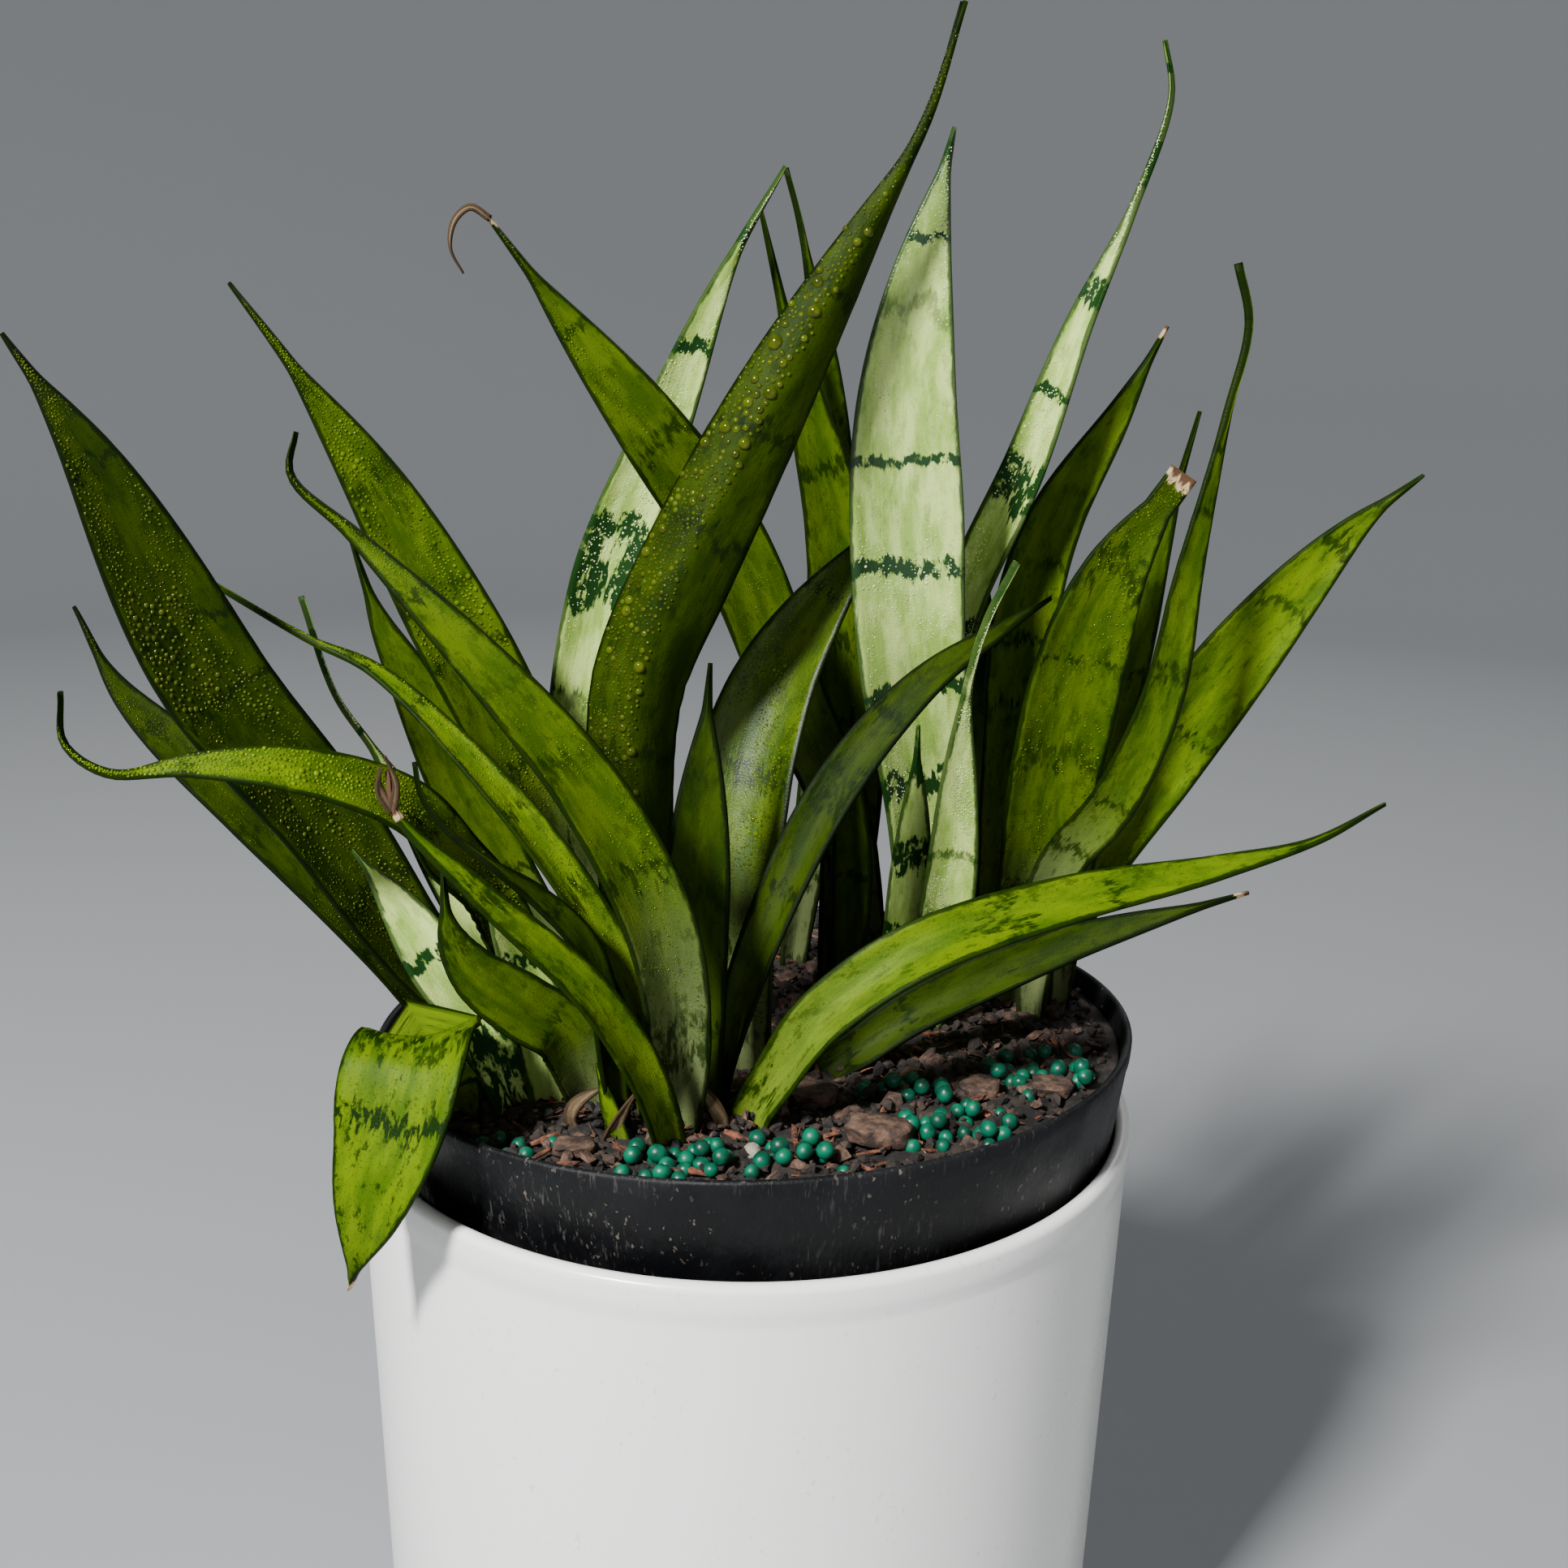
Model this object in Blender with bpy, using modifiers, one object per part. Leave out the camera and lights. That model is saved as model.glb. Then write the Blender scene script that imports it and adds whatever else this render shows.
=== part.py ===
"""Potted snake plant: a compact, many-leaved plant in a black nursery pot, standing in a white outer planter.

Lengths are millimetres here and metres in the scene. The origin is on the planter's axis, at its underside;
+Z is up and -Y is the front. Run it with: blender --background --python part.py
"""

import math
import random
from dataclasses import dataclass

import bmesh
import bpy
from mathutils import Euler, Matrix, Vector

MM = 0.001
GAP = 0.3  # clearance between pieces that touch
TURN_STEPS = 40  # facets round each turned piece

# White outer planter
PLANTER_HEIGHT = 150.0
PLANTER_RIM_RADIUS = 82.4
PLANTER_TAPER = 0.028  # radius lost per millimetre downwards
PLANTER_WALL = 2.8
PLANTER_FLOOR = 3.8
RIM_ROLL = 3.4  # depth of the thickened rim

# Black nursery pot, which stands a little crooked in the planter
POT_HEIGHT = 159.5
POT_LIP_RADIUS = 80.0
POT_LIP_DEPTH = 22.0
POT_LIP_FOOT_RADIUS = 76.2
POT_SHOULDER_RADIUS = 73.8
POT_FOOT_RADIUS = 55.0
POT_WALL = 1.6
POT_FLOOR = 1.8
POT_MOUTH = Vector((1.5, 1.0, 166.0))
POT_LEAN = Vector((-0.035, 0.030, 1.0)).normalized()
DRAIN_HOLES = 6
DRAIN_RADIUS = 4.5
DRAIN_CIRCLE = 38.0
DRAIN_CUT = 10.0  # length of the cutters, centred on the underside

# Potting mix
SOIL_BELOW_LIP = 4.6
ROOT_DEPTH = 9.0  # how far each leaf goes down into the mix

# Leaves
LEAF_ROWS = 12
LEAF_COLUMNS = 2
LEAF_THICKNESS = 1.8
TIP_WIDTH = 1.0
THIN_STALK = 1.8  # least width at the base, as a multiple of the tip's
CURVE_STEPS = 24  # fine steps between two points of a midrib
ROW_BUNCHING = 0.15  # how much closer the rows lie towards the tip
TAPER_POWER = 1.8  # how late the blade narrows above its widest place
BLUNT_TIP = 0.3  # width of a cut tip, as a share of the full width
FOLD_AT_TIP = 0.4  # radians between the level blade and its channelled halves
FOLD_ADDED_AT_BASE = 0.6

# What lies on the mix
BEAD_RADIUS = 2.0
BEAD_SWELL = 1.08  # makes up for the facets' flat sides
CHIP_BEVEL = 0.2  # share of the least side
CHIP_ROUGHNESS = 0.4


@dataclass(frozen=True)
class Leaf:
    """One leaf: where it leaves the mix, the midrib above it, and how the blade is turned."""

    name: str
    base: tuple[float, float]
    rib: tuple[tuple[float, float, float], ...]
    width: float
    face: tuple[tuple[float, float], ...] = ((0, 10), (0, 10), (0, 10))  # azimuth from the front, elevation
    waist: float = 0.5  # width at the base, as a share of the full width
    peak: float = 0.55  # where the blade is widest
    spike: float = 0.08  # share of the length that is a thin tip
    bow: int = 1  # 1 folds the halves forwards into a channel, -1 backwards from a ridge


LEAVES = (
    # left clump
    Leaf("leaf_far_left", (-50, -4),
         ((-67, -12, 183), (-83, -20, 214), (-99, -30, 242), (-115, -44, 287), (-126, -48, 307)),
         21, ((20, 20), (15, 25), (10, 25)), peak=0.6, spike=0.04),
    Leaf("leaf_upper_left", (-26, 8),
         ((-40, 5, 208), (-50, 2, 228), (-58, 0, 245), (-75, -2, 278), (-90, -5, 302), (-100, -6, 316)),
         19, ((20, 15), (10, 20), (10, 15)), spike=0.1),
    Leaf("leaf_low_left", (-66, 0),
         ((-74, -2, 175), (-84, -3, 189), (-103, -2, 210), (-129, 0, 235), (-138, 2, 252)),
         13, ((45, 10), (30, 20), (20, 20))),
    Leaf("leaf_low_left_rear", (-60, 8),
         ((-86, 9, 197), (-103, 12, 215), (-122, 15, 230), (-130, 16, 240)),
         10, ((30, 10), (20, 20), (20, 20))),
    Leaf("leaf_level_left", (-38, -22),
         ((-48, -26, 196), (-56, -38, 213), (-62, -48, 225), (-76, -58, 234), (-94, -62, 236),
          (-108, -64, 235), (-115, -64, 240), (-115, -64, 249)),
         13, ((20, 30), (0, 45), (0, 30)), peak=0.5, spike=0.14),
    Leaf("leaf_front_left", (-13, -46),
         ((-12, -52, 184), (-15, -58, 207), (-25, -60, 229), (-40, -60, 249), (-66, -56, 275),
          (-77, -54, 285), (-76, -53, 292)),
         14, ((10, 10), (20, 20), (0, 20)), waist=0.65, peak=0.35, spike=0.1),
    Leaf("leaf_slender_left", (-19, -38),
         ((-22, -39, 185), (-35, -37, 209), (-53, -31, 230), (-72, -22, 245), (-85, -18, 250),
          (-104, -12, 259)),
         9, ((50, 20), (40, 35), (30, 40)), peak=0.35, spike=0.14),
    Leaf("leaf_spike_left", (-42, -12),
         ((-61, -8, 197), (-76, -5, 224), (-84, -4, 236), (-90, -4, 256)),
         9, ((10, 10), (30, 10), (60, 10)), spike=0.3),
    Leaf("leaf_dry_tip", (-14, -55),
         ((-18, -62, 181), (-27, -68, 199), (-44, -73, 218), (-57, -74, 232), (-58, -74, 239)),
         8.5, ((40, 10), (30, 30), (20, 30)), waist=0.8, peak=0.3, spike=0.05),
    Leaf("leaf_shaded_left", (-29, -38),
         ((-34, -44, 180), (-41, -48, 187), (-49, -51, 195), (-53, -52, 203), (-54, -52, 215)),
         13, ((10, 20), (10, 30), (10, 20)), spike=0.1),
    Leaf("leaf_pale_left", (-45, -37),
         ((-52, -39, 182), (-59, -39, 193), (-67, -36, 204), (-75, -32, 212)),
         12, ((30, 10), (20, 15), (20, 20)), spike=0.05),
    Leaf("leaf_pale_short", (-38, -32),
         ((-42, -35, 189), (-46, -38, 200), (-50, -41, 209)),
         11, ((0, 10), (10, 20), (10, 20))),
    Leaf("leaf_drooping", (-56, -36),
         ((-57, -43, 174), (-59, -53, 182), (-60, -60, 180), (-62, -65, 170), (-65, -68, 160),
          (-68, -67, 150), (-71, -65, 138)),
         24, ((-15, 5), (-15, 60), (-15, 0)), waist=0.33, peak=0.5, spike=0.04),
    Leaf("leaf_twisted", (-24, -48),
         ((-29, -48, 198), (-37, -50, 209), (-45, -52, 216), (-53, -53, 223), (-57, -53, 229),
          (-58, -53, 235)),
         8, ((50, 20), (50, 30), (30, 20)), peak=0.4, spike=0.22),
    Leaf("leaf_left_rear", (-36, 16),
         ((-56, 10, 201), (-70, 7, 235), (-77, 6, 250), (-82, 6, 266)),
         14, ((10, 10), (10, 10), (10, 10))),
    # middle clump
    Leaf("leaf_centre_shaded", (-8, -40), ((-9, -39, 200), (-8, -36, 230), (-7, -34, 250)), 13),
    Leaf("leaf_centre_rear", (-17, -18), ((-19, -19, 205), (-17, -17, 237), (-14, -15, 252)), 9),
    Leaf("leaf_tall_dark", (-16, -26),
         ((-21, -26, 207), (-21, -27, 243), (-12, -28, 267), (5, -26, 300), (20, -22, 327), (30, -20, 346),
          (36, -18, 366)),
         20, ((20, 5), (0, 15), (40, 10)), peak=0.5, spike=0.12, bow=-1),
    Leaf("leaf_tall_pale", (41, 24),
         ((38, 11, 210), (32, -1, 247), (30, -5, 272), (29, -7, 297), (31, -8, 320), (36, -9, 346)),
         23.5, ((0, 0), (0, 0), (0, 0)), peak=0.6, spike=0.03),
    Leaf("leaf_curled_tip", (28, 27),
         ((20, 20, 207), (9, 16, 232), (-4, 10, 264), (-21, 1, 290), (-38, -2, 312), (-51, -4, 329)),
         16.5, ((-10, 10), (0, 15), (0, 15)), peak=0.65, spike=0.06),
    Leaf("leaf_pale_rear", (-28, 24),
         ((-38, 19, 212), (-32, 16, 255), (-20, 15, 287), (-6, 13, 321), (5, 12, 340)),
         14.5, ((0, 0), (0, 0), (20, 0))),
    Leaf("leaf_rear_green", (20, 38),
         ((22, 29, 215), (17, 25, 267), (12, 23, 287), (7, 22, 305), (3, 21, 321), (0, 20, 333)),
         16, ((0, 0), (0, 0), (20, 0)), peak=0.5, spike=0.1),
    Leaf("leaf_rear_shaded", (10, 48),
         ((17, 40, 230), (16, 36, 276), (13, 34, 305), (8, 32, 331), (5, 31, 341)),
         12, ((0, 0), (0, 0), (40, 0))),
    Leaf("leaf_glossy", (0, -21),
         ((-2, -18, 197), (-1, -13, 214), (1, -9, 226), (5, -5, 239), (12, -1, 252), (29, 4, 276)),
         22, ((-10, 20), (-20, 30), (-20, 20)), peak=0.5, spike=0.04),
    Leaf("leaf_arching", (-4, -34),
         ((-3, -37, 173), (6, -32, 202), (18, -24, 225), (34, -16, 243), (50, -8, 253), (60, 0, 258)),
         10, ((-30, 30), (-10, 35), (-10, 40)), peak=0.5, spike=0.02),
    # right clump
    Leaf("leaf_speckled", (38, 7),
         ((40, 4, 172), (42, -4, 200), (42, -16, 239), (45, -20, 256), (50, -22, 268)),
         12, ((-20, 0), (0, 0), (50, 0)), waist=0.7, peak=0.35, spike=0.22),
    Leaf("leaf_pale_centre", (31, 12), ((33, 4, 186), (34, 0, 204), (34, -5, 232)), 9),
    Leaf("leaf_dark_centre", (21, 12), ((22, 9, 192), (21, 6, 214), (21, 4, 234)), 9),
    Leaf("leaf_tall_folded", (49, 27),
         ((44, 17, 230), (44, 14, 251), (56, 11, 284), (64, 10, 310), (73, 10, 333), (79, 10, 354),
          (77, 10, 364)),
         11, ((-30, 0), (-30, 10), (-30, 10)), spike=0.14),
    Leaf("leaf_right_green", (56, 34),
         ((57, 26, 215), (58, 22, 252), (63, 22, 271), (75, 22, 293), (84, 22, 311)),
         15, ((-10, 0), (0, 5), (0, 5)), spike=0.04),
    Leaf("leaf_broad_right", (60, 18),
         ((60, 11, 182), (61, 5, 201), (62, -1, 220), (65, -6, 244), (70, -8, 263), (83, -8, 284)),
         20, ((-10, 0), (0, 0), (10, 10)), peak=0.6, spike=0.0),
    Leaf("leaf_right_hidden", (69, 17),
         ((72, 12, 210), (78, 7, 243), (82, 5, 267), (88, 4, 295)), 9, ((0, 0), (0, 0), (0, 0))),
    Leaf("leaf_wavy_right", (63, 9),
         ((64, 0, 198), (74, -10, 219), (81, -13, 241), (84, -13, 264), (90, -10, 295), (93, -9, 312),
          (90, -9, 323)),
         10, ((-30, 20), (0, 20), (60, 10)), waist=0.6, peak=0.35, spike=0.14),
    Leaf("leaf_right_low", (65, 26),
         ((74, 19, 195), (87, 13, 221), (102, 10, 246), (122, 8, 272), (135, 8, 283)),
         18, ((-10, 10), (0, 10), (0, 10)), spike=0.05),
    Leaf("leaf_long_right", (3, -44),
         ((8, -46, 173), (15, -48, 185), (32, -47, 198), (61, -40, 207), (90, -33, 212), (109, -30, 217),
          (122, -28, 224)),
         12.5, ((-30, 30), (-10, 45), (0, 40)), waist=0.7, peak=0.35, spike=0.1),
    Leaf("leaf_low_right", (17, -21),
         ((24, -18, 167), (35, -15, 174), (66, -9, 187), (94, -8, 196), (103, -8, 199)),
         10, ((-10, 30), (0, 35), (0, 30)), waist=0.7, peak=0.4),
    Leaf("leaf_right_rear", (50, 44), ((52, 38, 203), (52, 35, 232), (50, 34, 262)), 15),
)

# Groups of feed granules, as (x, y) places of touching beads on the mix
BEAD_GROUPS = {
    "granules_front": ((-6, -58), (-3, -59), (0, -60), (3, -60), (6, -59), (9, -58), (8, -61), (2, -57),
                       (-1, -57)),
    "granules_right": ((56, -20), (59, -19), (61, -17), (63, -15), (62, -12), (58, -22), (61, -20)),
    "granules_middle": ((29, -27), (32, -28), (35, -27), (37, -25), (40, -24), (38, -28)),
    "granules_right_front": ((38, -46), (41, -47), (44, -46), (46, -44), (44, -42), (41, -44)),
    "granules_left": ((-42, -54), (-39, -55), (-36, -54)),
}

# Bark chips on the mix: (x, y), (length, width, height), turn in degrees
CHIPS = {
    "bark_chip_dark": ((14, -36), (11, 6, 4), 35),
    "bark_chip_large": ((26, -55), (15, 8, 5), -12),
    "bark_chip_right": ((47, -33), (10, 5, 3), 60),
    "bark_chip_edge": ((61, -33), (9, 6, 3), -40),
    "bark_chip_left": ((-30, -58), (9, 6, 3), 15),
}


def material(name, color, roughness, metallic=0.0):
    """A Principled BSDF of one colour."""
    made = bpy.data.materials.new(name)
    made.use_nodes = True
    shader = made.node_tree.nodes["Principled BSDF"]
    shader.inputs["Base Color"].default_value = (*color, 1.0)
    shader.inputs["Roughness"].default_value = roughness
    shader.inputs["Metallic"].default_value = metallic
    return made


def collection(name, hidden=False):
    """A new collection in the scene; a hidden one holds cutters."""
    made = bpy.data.collections.new(name)
    made.hide_render = hidden
    bpy.context.scene.collection.children.link(made)
    return made


def mesh_object(name, bm, home, finish=None):
    """Turns a bmesh in millimetres into an object in metres."""
    bmesh.ops.scale(bm, vec=(MM, MM, MM), verts=bm.verts)
    bmesh.ops.recalc_face_normals(bm, faces=bm.faces)
    mesh = bpy.data.meshes.new(name)
    bm.to_mesh(mesh)
    bm.free()
    made = bpy.data.objects.new(name, mesh)
    home.objects.link(made)
    if finish:
        mesh.materials.append(finish)
    else:
        made.hide_render = True
        made.display_type = "WIRE"
    return made


def turned(name, profile, home, finish):
    """A solid of revolution; the profile runs from the axis, up the inside and down the outside."""
    mesh = bpy.data.meshes.new(name)
    points = [(r * MM, 0.0, z * MM) for r, z in profile]
    mesh.from_pydata(points, [(i, i + 1) for i in range(len(points) - 1)], [])
    mesh.materials.append(finish)
    made = bpy.data.objects.new(name, mesh)
    home.objects.link(made)
    screw = made.modifiers.new("turn", "SCREW")
    screw.axis = "Z"
    screw.angle = math.tau
    screw.steps = screw.render_steps = TURN_STEPS
    screw.use_merge_vertices = True
    screw.merge_threshold = 0.00005
    screw.use_normal_calculate = False
    return made


def cut(target, cutter, operation="DIFFERENCE"):
    """Adds an exact Boolean to the target."""
    step = target.modifiers.new(cutter.name, "BOOLEAN")
    step.operation = operation
    step.solver = "EXACT"
    step.object = cutter
    return step


def arc(cx, cz, radius, start, end, steps):
    """Points on a circular arc in the profile plane, in degrees."""
    angles = (math.radians(start + (end - start) * i / steps) for i in range(steps + 1))
    return [(cx + radius * math.cos(a), cz + radius * math.sin(a)) for a in angles]


def planter_radius(z):
    """Outer radius of the planter's wall at a height."""
    return PLANTER_RIM_RADIUS - 0.4 - PLANTER_TAPER * (PLANTER_HEIGHT - z)


def outer_planter(home, finish):
    """White shell with a thickened, rounded rim and a flat underside."""
    roll = RIM_ROLL / 2
    rim_centre = PLANTER_RIM_RADIUS - roll
    floor_radius = planter_radius(PLANTER_FLOOR) - PLANTER_WALL
    profile = [(0, PLANTER_FLOOR), (floor_radius - 3, PLANTER_FLOOR), (floor_radius, PLANTER_FLOOR + 3)]
    profile += [(planter_radius(PLANTER_HEIGHT - 9) - PLANTER_WALL, PLANTER_HEIGHT - 9)]
    profile += arc(rim_centre, PLANTER_HEIGHT - roll, roll, 180, 0, 6)
    profile += [(PLANTER_RIM_RADIUS, PLANTER_HEIGHT - 5), (planter_radius(142), 142)]
    profile += [(planter_radius(2), 2), (planter_radius(0) - 2, 0), (0, 0)]
    return turned("outer_planter", profile, home, finish)


def pot_inner_radius(z):
    """Inside radius of the nursery pot at a height above its own underside."""
    lip_foot = POT_HEIGHT - POT_LIP_DEPTH
    if z >= lip_foot:
        share = (z - lip_foot) / POT_LIP_DEPTH
        return POT_LIP_FOOT_RADIUS + share * (POT_LIP_RADIUS - POT_LIP_FOOT_RADIUS) - POT_WALL
    share = z / lip_foot
    return POT_FOOT_RADIUS + share * (POT_SHOULDER_RADIUS - POT_FOOT_RADIUS) - POT_WALL


def pot_matrix():
    """Where the nursery pot's own axis and underside are in the scene, in metres."""
    turn = Vector((0, 0, 1)).rotation_difference(POT_LEAN)
    foot = (POT_MOUTH - POT_LEAN * POT_HEIGHT) * MM
    return Matrix.Translation(foot) @ turn.to_matrix().to_4x4()


def nursery_pot(home, hidden, finish):
    """Thin black pot with a deep lip band, a stepped shoulder and drain holes in its floor."""
    lip_foot = POT_HEIGHT - POT_LIP_DEPTH
    profile = [(0, POT_FLOOR), (pot_inner_radius(POT_FLOOR), POT_FLOOR)]
    profile += [(pot_inner_radius(lip_foot - 2), lip_foot - 2)]
    profile += [(pot_inner_radius(lip_foot + 1), lip_foot + 1)]
    profile += [(POT_LIP_RADIUS - POT_WALL, POT_HEIGHT - 0.5), (POT_LIP_RADIUS - 0.8, POT_HEIGHT)]
    profile += [(POT_LIP_RADIUS, POT_HEIGHT - 0.6), (POT_LIP_FOOT_RADIUS, lip_foot)]
    profile += [(POT_SHOULDER_RADIUS, lip_foot), (POT_FOOT_RADIUS + 0.4, 3)]
    profile += [(POT_FOOT_RADIUS - 1.5, 0), (0, 0)]
    pot = turned("nursery_pot", profile, home, finish)
    bm = bmesh.new()
    for i in range(DRAIN_HOLES):
        angle = math.tau * i / DRAIN_HOLES
        place = Matrix.Translation((DRAIN_CIRCLE * math.cos(angle), DRAIN_CIRCLE * math.sin(angle), 0))
        bmesh.ops.create_cone(bm, cap_ends=True, segments=12, radius1=DRAIN_RADIUS, radius2=DRAIN_RADIUS,
                              depth=DRAIN_CUT, matrix=place)
    holes = mesh_object("drain_holes", bm, hidden)
    cut(pot, holes)
    pot.matrix_world = pot_matrix()
    holes.matrix_world = pot_matrix()
    return pot


def soil_height(x, y):
    """Height of the mix under a point, in the scene's millimetres."""
    middle = POT_MOUTH - POT_LEAN * SOIL_BELOW_LIP
    return middle.z - ((x - middle.x) * POT_LEAN.x + (y - middle.y) * POT_LEAN.y) / POT_LEAN.z


def potting_mix(home, finish):
    """Solid of mix that fills the nursery pot to just below its lip."""
    top = POT_HEIGHT - SOIL_BELOW_LIP
    lip_foot = POT_HEIGHT - POT_LIP_DEPTH
    foot = POT_FLOOR + GAP
    profile = [(0, top), (pot_inner_radius(top) - GAP, top)]
    profile += [(pot_inner_radius(lip_foot + 1) - GAP, lip_foot + 1)]
    profile += [(pot_inner_radius(lip_foot - 2) - GAP, lip_foot - 2)]
    profile += [(pot_inner_radius(foot) - GAP, foot), (0, foot)]
    soil = turned("potting_mix", profile, home, finish)
    soil.matrix_world = pot_matrix()
    return soil


def smooth_path(points, count):
    """Even points along a centripetal Catmull-Rom curve through the given ones."""
    ends = [2 * points[0] - points[1], *points, 2 * points[-1] - points[-2]]
    dense = []
    for i in range(1, len(ends) - 2):
        p0, p1, p2, p3 = ends[i - 1 : i + 3]
        t1 = math.sqrt((p1 - p0).length)
        t2 = t1 + math.sqrt((p2 - p1).length)
        t3 = t2 + math.sqrt((p3 - p2).length)
        for step in range(CURVE_STEPS):
            t = t1 + (t2 - t1) * step / CURVE_STEPS
            a1 = p0.lerp(p1, t / t1)
            a2 = p1.lerp(p2, (t - t1) / (t2 - t1))
            a3 = p2.lerp(p3, (t - t2) / (t3 - t2))
            b1 = a1.lerp(a2, t / t2)
            b2 = a2.lerp(a3, (t - t1) / (t3 - t1))
            dense.append(b1.lerp(b2, (t - t1) / (t2 - t1)))
    dense.append(points[-1])
    reach = [0.0]
    for a, b in zip(dense, dense[1:]):
        reach.append(reach[-1] + (b - a).length)
    path = []
    k = 0
    for i in range(count + 1):
        share = i / count
        goal = reach[-1] * share * (1 + ROW_BUNCHING * (1 - share))
        while k < len(reach) - 2 and reach[k + 1] < goal:
            k += 1
        path.append(dense[k].lerp(dense[k + 1], (goal - reach[k]) / (reach[k + 1] - reach[k])))
    return path


def facing(angles):
    """Unit vector from an azimuth (0 is the front, 90 the right) and an elevation."""
    azimuth, elevation = (math.radians(a) for a in angles)
    level = math.cos(elevation)
    return Vector((math.sin(azimuth) * level, -math.cos(azimuth) * level, math.sin(elevation)))


def blade_width(leaf, share):
    """Width of the blade at a share of its length."""
    along = share / (1 - leaf.spike)
    if along < leaf.peak:
        factor = leaf.waist + (1 - leaf.waist) * math.sin(math.pi / 2 * along / leaf.peak)
    elif along < 1:
        factor = 1 - ((along - leaf.peak) / (1 - leaf.peak)) ** TAPER_POWER
    else:
        factor = 0.0
    blunt = BLUNT_TIP if leaf.spike == 0 else 0.0
    least = TIP_WIDTH * (THIN_STALK - (THIN_STALK - 1) * share)
    return max(leaf.width * max(factor, blunt), least)


def leaf_blade(leaf, grow=0.0):
    """The blade's mid-surface as a grid that follows the midrib, folded into a shallow channel or ridge."""
    x, y = leaf.base
    ground = soil_height(x, y)
    start = Vector((x, y, ground))
    above = [Vector(p) for p in leaf.rib]
    down = (start - above[0]).normalized()
    buried = start + Vector((down.x * 0.3, down.y * 0.3, -1)).normalized() * (ROOT_DEPTH + grow)
    path = smooth_path([buried, start, *above], LEAF_ROWS)
    faces = [facing(angles) for angles in leaf.face]
    bm = bmesh.new()
    bmesh.ops.create_grid(bm, x_segments=LEAF_COLUMNS, y_segments=LEAF_ROWS, size=1.0)
    for vert in bm.verts:
        row = round((vert.co.y + 1) / 2 * LEAF_ROWS)
        side_share = vert.co.x
        share = row / LEAF_ROWS
        along = (path[min(row + 1, LEAF_ROWS)] - path[max(row - 1, 0)]).normalized()
        half = min(int(share * 2), 1)
        front = faces[half].lerp(faces[half + 1], share * 2 - half)
        front = (front - along * front.dot(along)).normalized()
        across = along.cross(front)
        fold = FOLD_AT_TIP + FOLD_ADDED_AT_BASE * (1 - share) ** 3
        reach = (blade_width(leaf, share) / 2 + grow) * side_share
        rise = leaf.bow * abs(reach) * math.sin(fold / 2)
        vert.co = path[row] + across * reach * math.cos(fold / 2) + front * rise
    return bm


def leaf_solid(leaf, home, finish=None, grow=0.0):
    """A closed leaf; grown and unfinished it is the cutter for its place in the mix."""
    name = leaf.name if finish else leaf.name + "_socket"
    made = mesh_object(name, leaf_blade(leaf, grow), home, finish)
    solid = made.modifiers.new("thickness", "SOLIDIFY")
    solid.thickness = (LEAF_THICKNESS + 2 * grow) * MM
    solid.offset = 0.0
    return made


def bead_group(name, places, home, hidden, finish):
    """Touching round granules as one body."""
    first = bmesh.new()
    rest = bmesh.new()
    for i, (x, y) in enumerate(places):
        centre = Vector((x, y, soil_height(x, y) + BEAD_RADIUS + GAP))
        spin = Euler((0.4 * i, 0.7 * i, 0.9 * i)).to_matrix().to_4x4()
        bmesh.ops.create_icosphere(rest if i else first, subdivisions=1, radius=BEAD_RADIUS * BEAD_SWELL,
                                   matrix=Matrix.Translation(centre) @ spin)
    group = mesh_object(name, first, home, finish)
    others = mesh_object(name + "_more", rest, hidden)
    cut(group, others, "UNION").use_self = True
    return group


def bark_chip(name, place, size, turn, home, finish):
    """A broken, flat piece of bark lying on the mix."""
    draws = random.Random(name)
    x, y = place
    bm = bmesh.new()
    bmesh.ops.create_cube(bm, size=1.0)
    bmesh.ops.scale(bm, vec=size, verts=bm.verts)
    bmesh.ops.bevel(bm, geom=bm.edges[:], offset=min(size) * CHIP_BEVEL, offset_type="OFFSET", segments=1,
                    profile=0.5, affect="EDGES")
    for vert in bm.verts:
        vert.co.x += draws.uniform(-CHIP_ROUGHNESS, CHIP_ROUGHNESS)
        vert.co.y += draws.uniform(-CHIP_ROUGHNESS, CHIP_ROUGHNESS)
    tilt = Vector((0, 0, 1)).rotation_difference(POT_LEAN).to_matrix().to_4x4()
    lift = Vector((x, y, soil_height(x, y))) + POT_LEAN * (size[2] / 2 + GAP)
    spin = Matrix.Rotation(math.radians(turn), 4, "Z")
    bmesh.ops.transform(bm, matrix=Matrix.Translation(lift) @ tilt @ spin, verts=bm.verts)
    return mesh_object(name, bm, home, finish)


def main():
    """Clears the scene and builds every piece of the plant."""
    for obj in list(bpy.data.objects):
        bpy.data.objects.remove(obj)
    home = collection("potted_snake_plant")
    hidden = collection("cutters", hidden=True)
    white = material("planter_white", (0.86, 0.86, 0.84), 0.3)
    black = material("pot_black", (0.022, 0.023, 0.025), 0.5)
    brown = material("potting_mix", (0.055, 0.035, 0.025), 0.95)
    green = material("leaf_green", (0.075, 0.17, 0.02), 0.4)
    teal = material("granule_green", (0.01, 0.24, 0.13), 0.35)
    bark = material("bark_brown", (0.13, 0.075, 0.05), 0.9)

    outer_planter(home, white)
    nursery_pot(home, hidden, black)
    soil = potting_mix(home, brown)
    for leaf in LEAVES:
        leaf_solid(leaf, home, green)
        cut(soil, leaf_solid(leaf, hidden, grow=GAP))
    for name, places in BEAD_GROUPS.items():
        bead_group(name, places, home, hidden, teal)
    for name, (place, size, turn) in CHIPS.items():
        bark_chip(name, place, size, turn, home, bark)


main()
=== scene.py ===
"""Finished model of a potted snake plant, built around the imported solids, which stay the fixed frame.

Lengths in the plans below are millimetres; meshes are made in metres. +Z is up and -Y is the front.
"""

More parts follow.
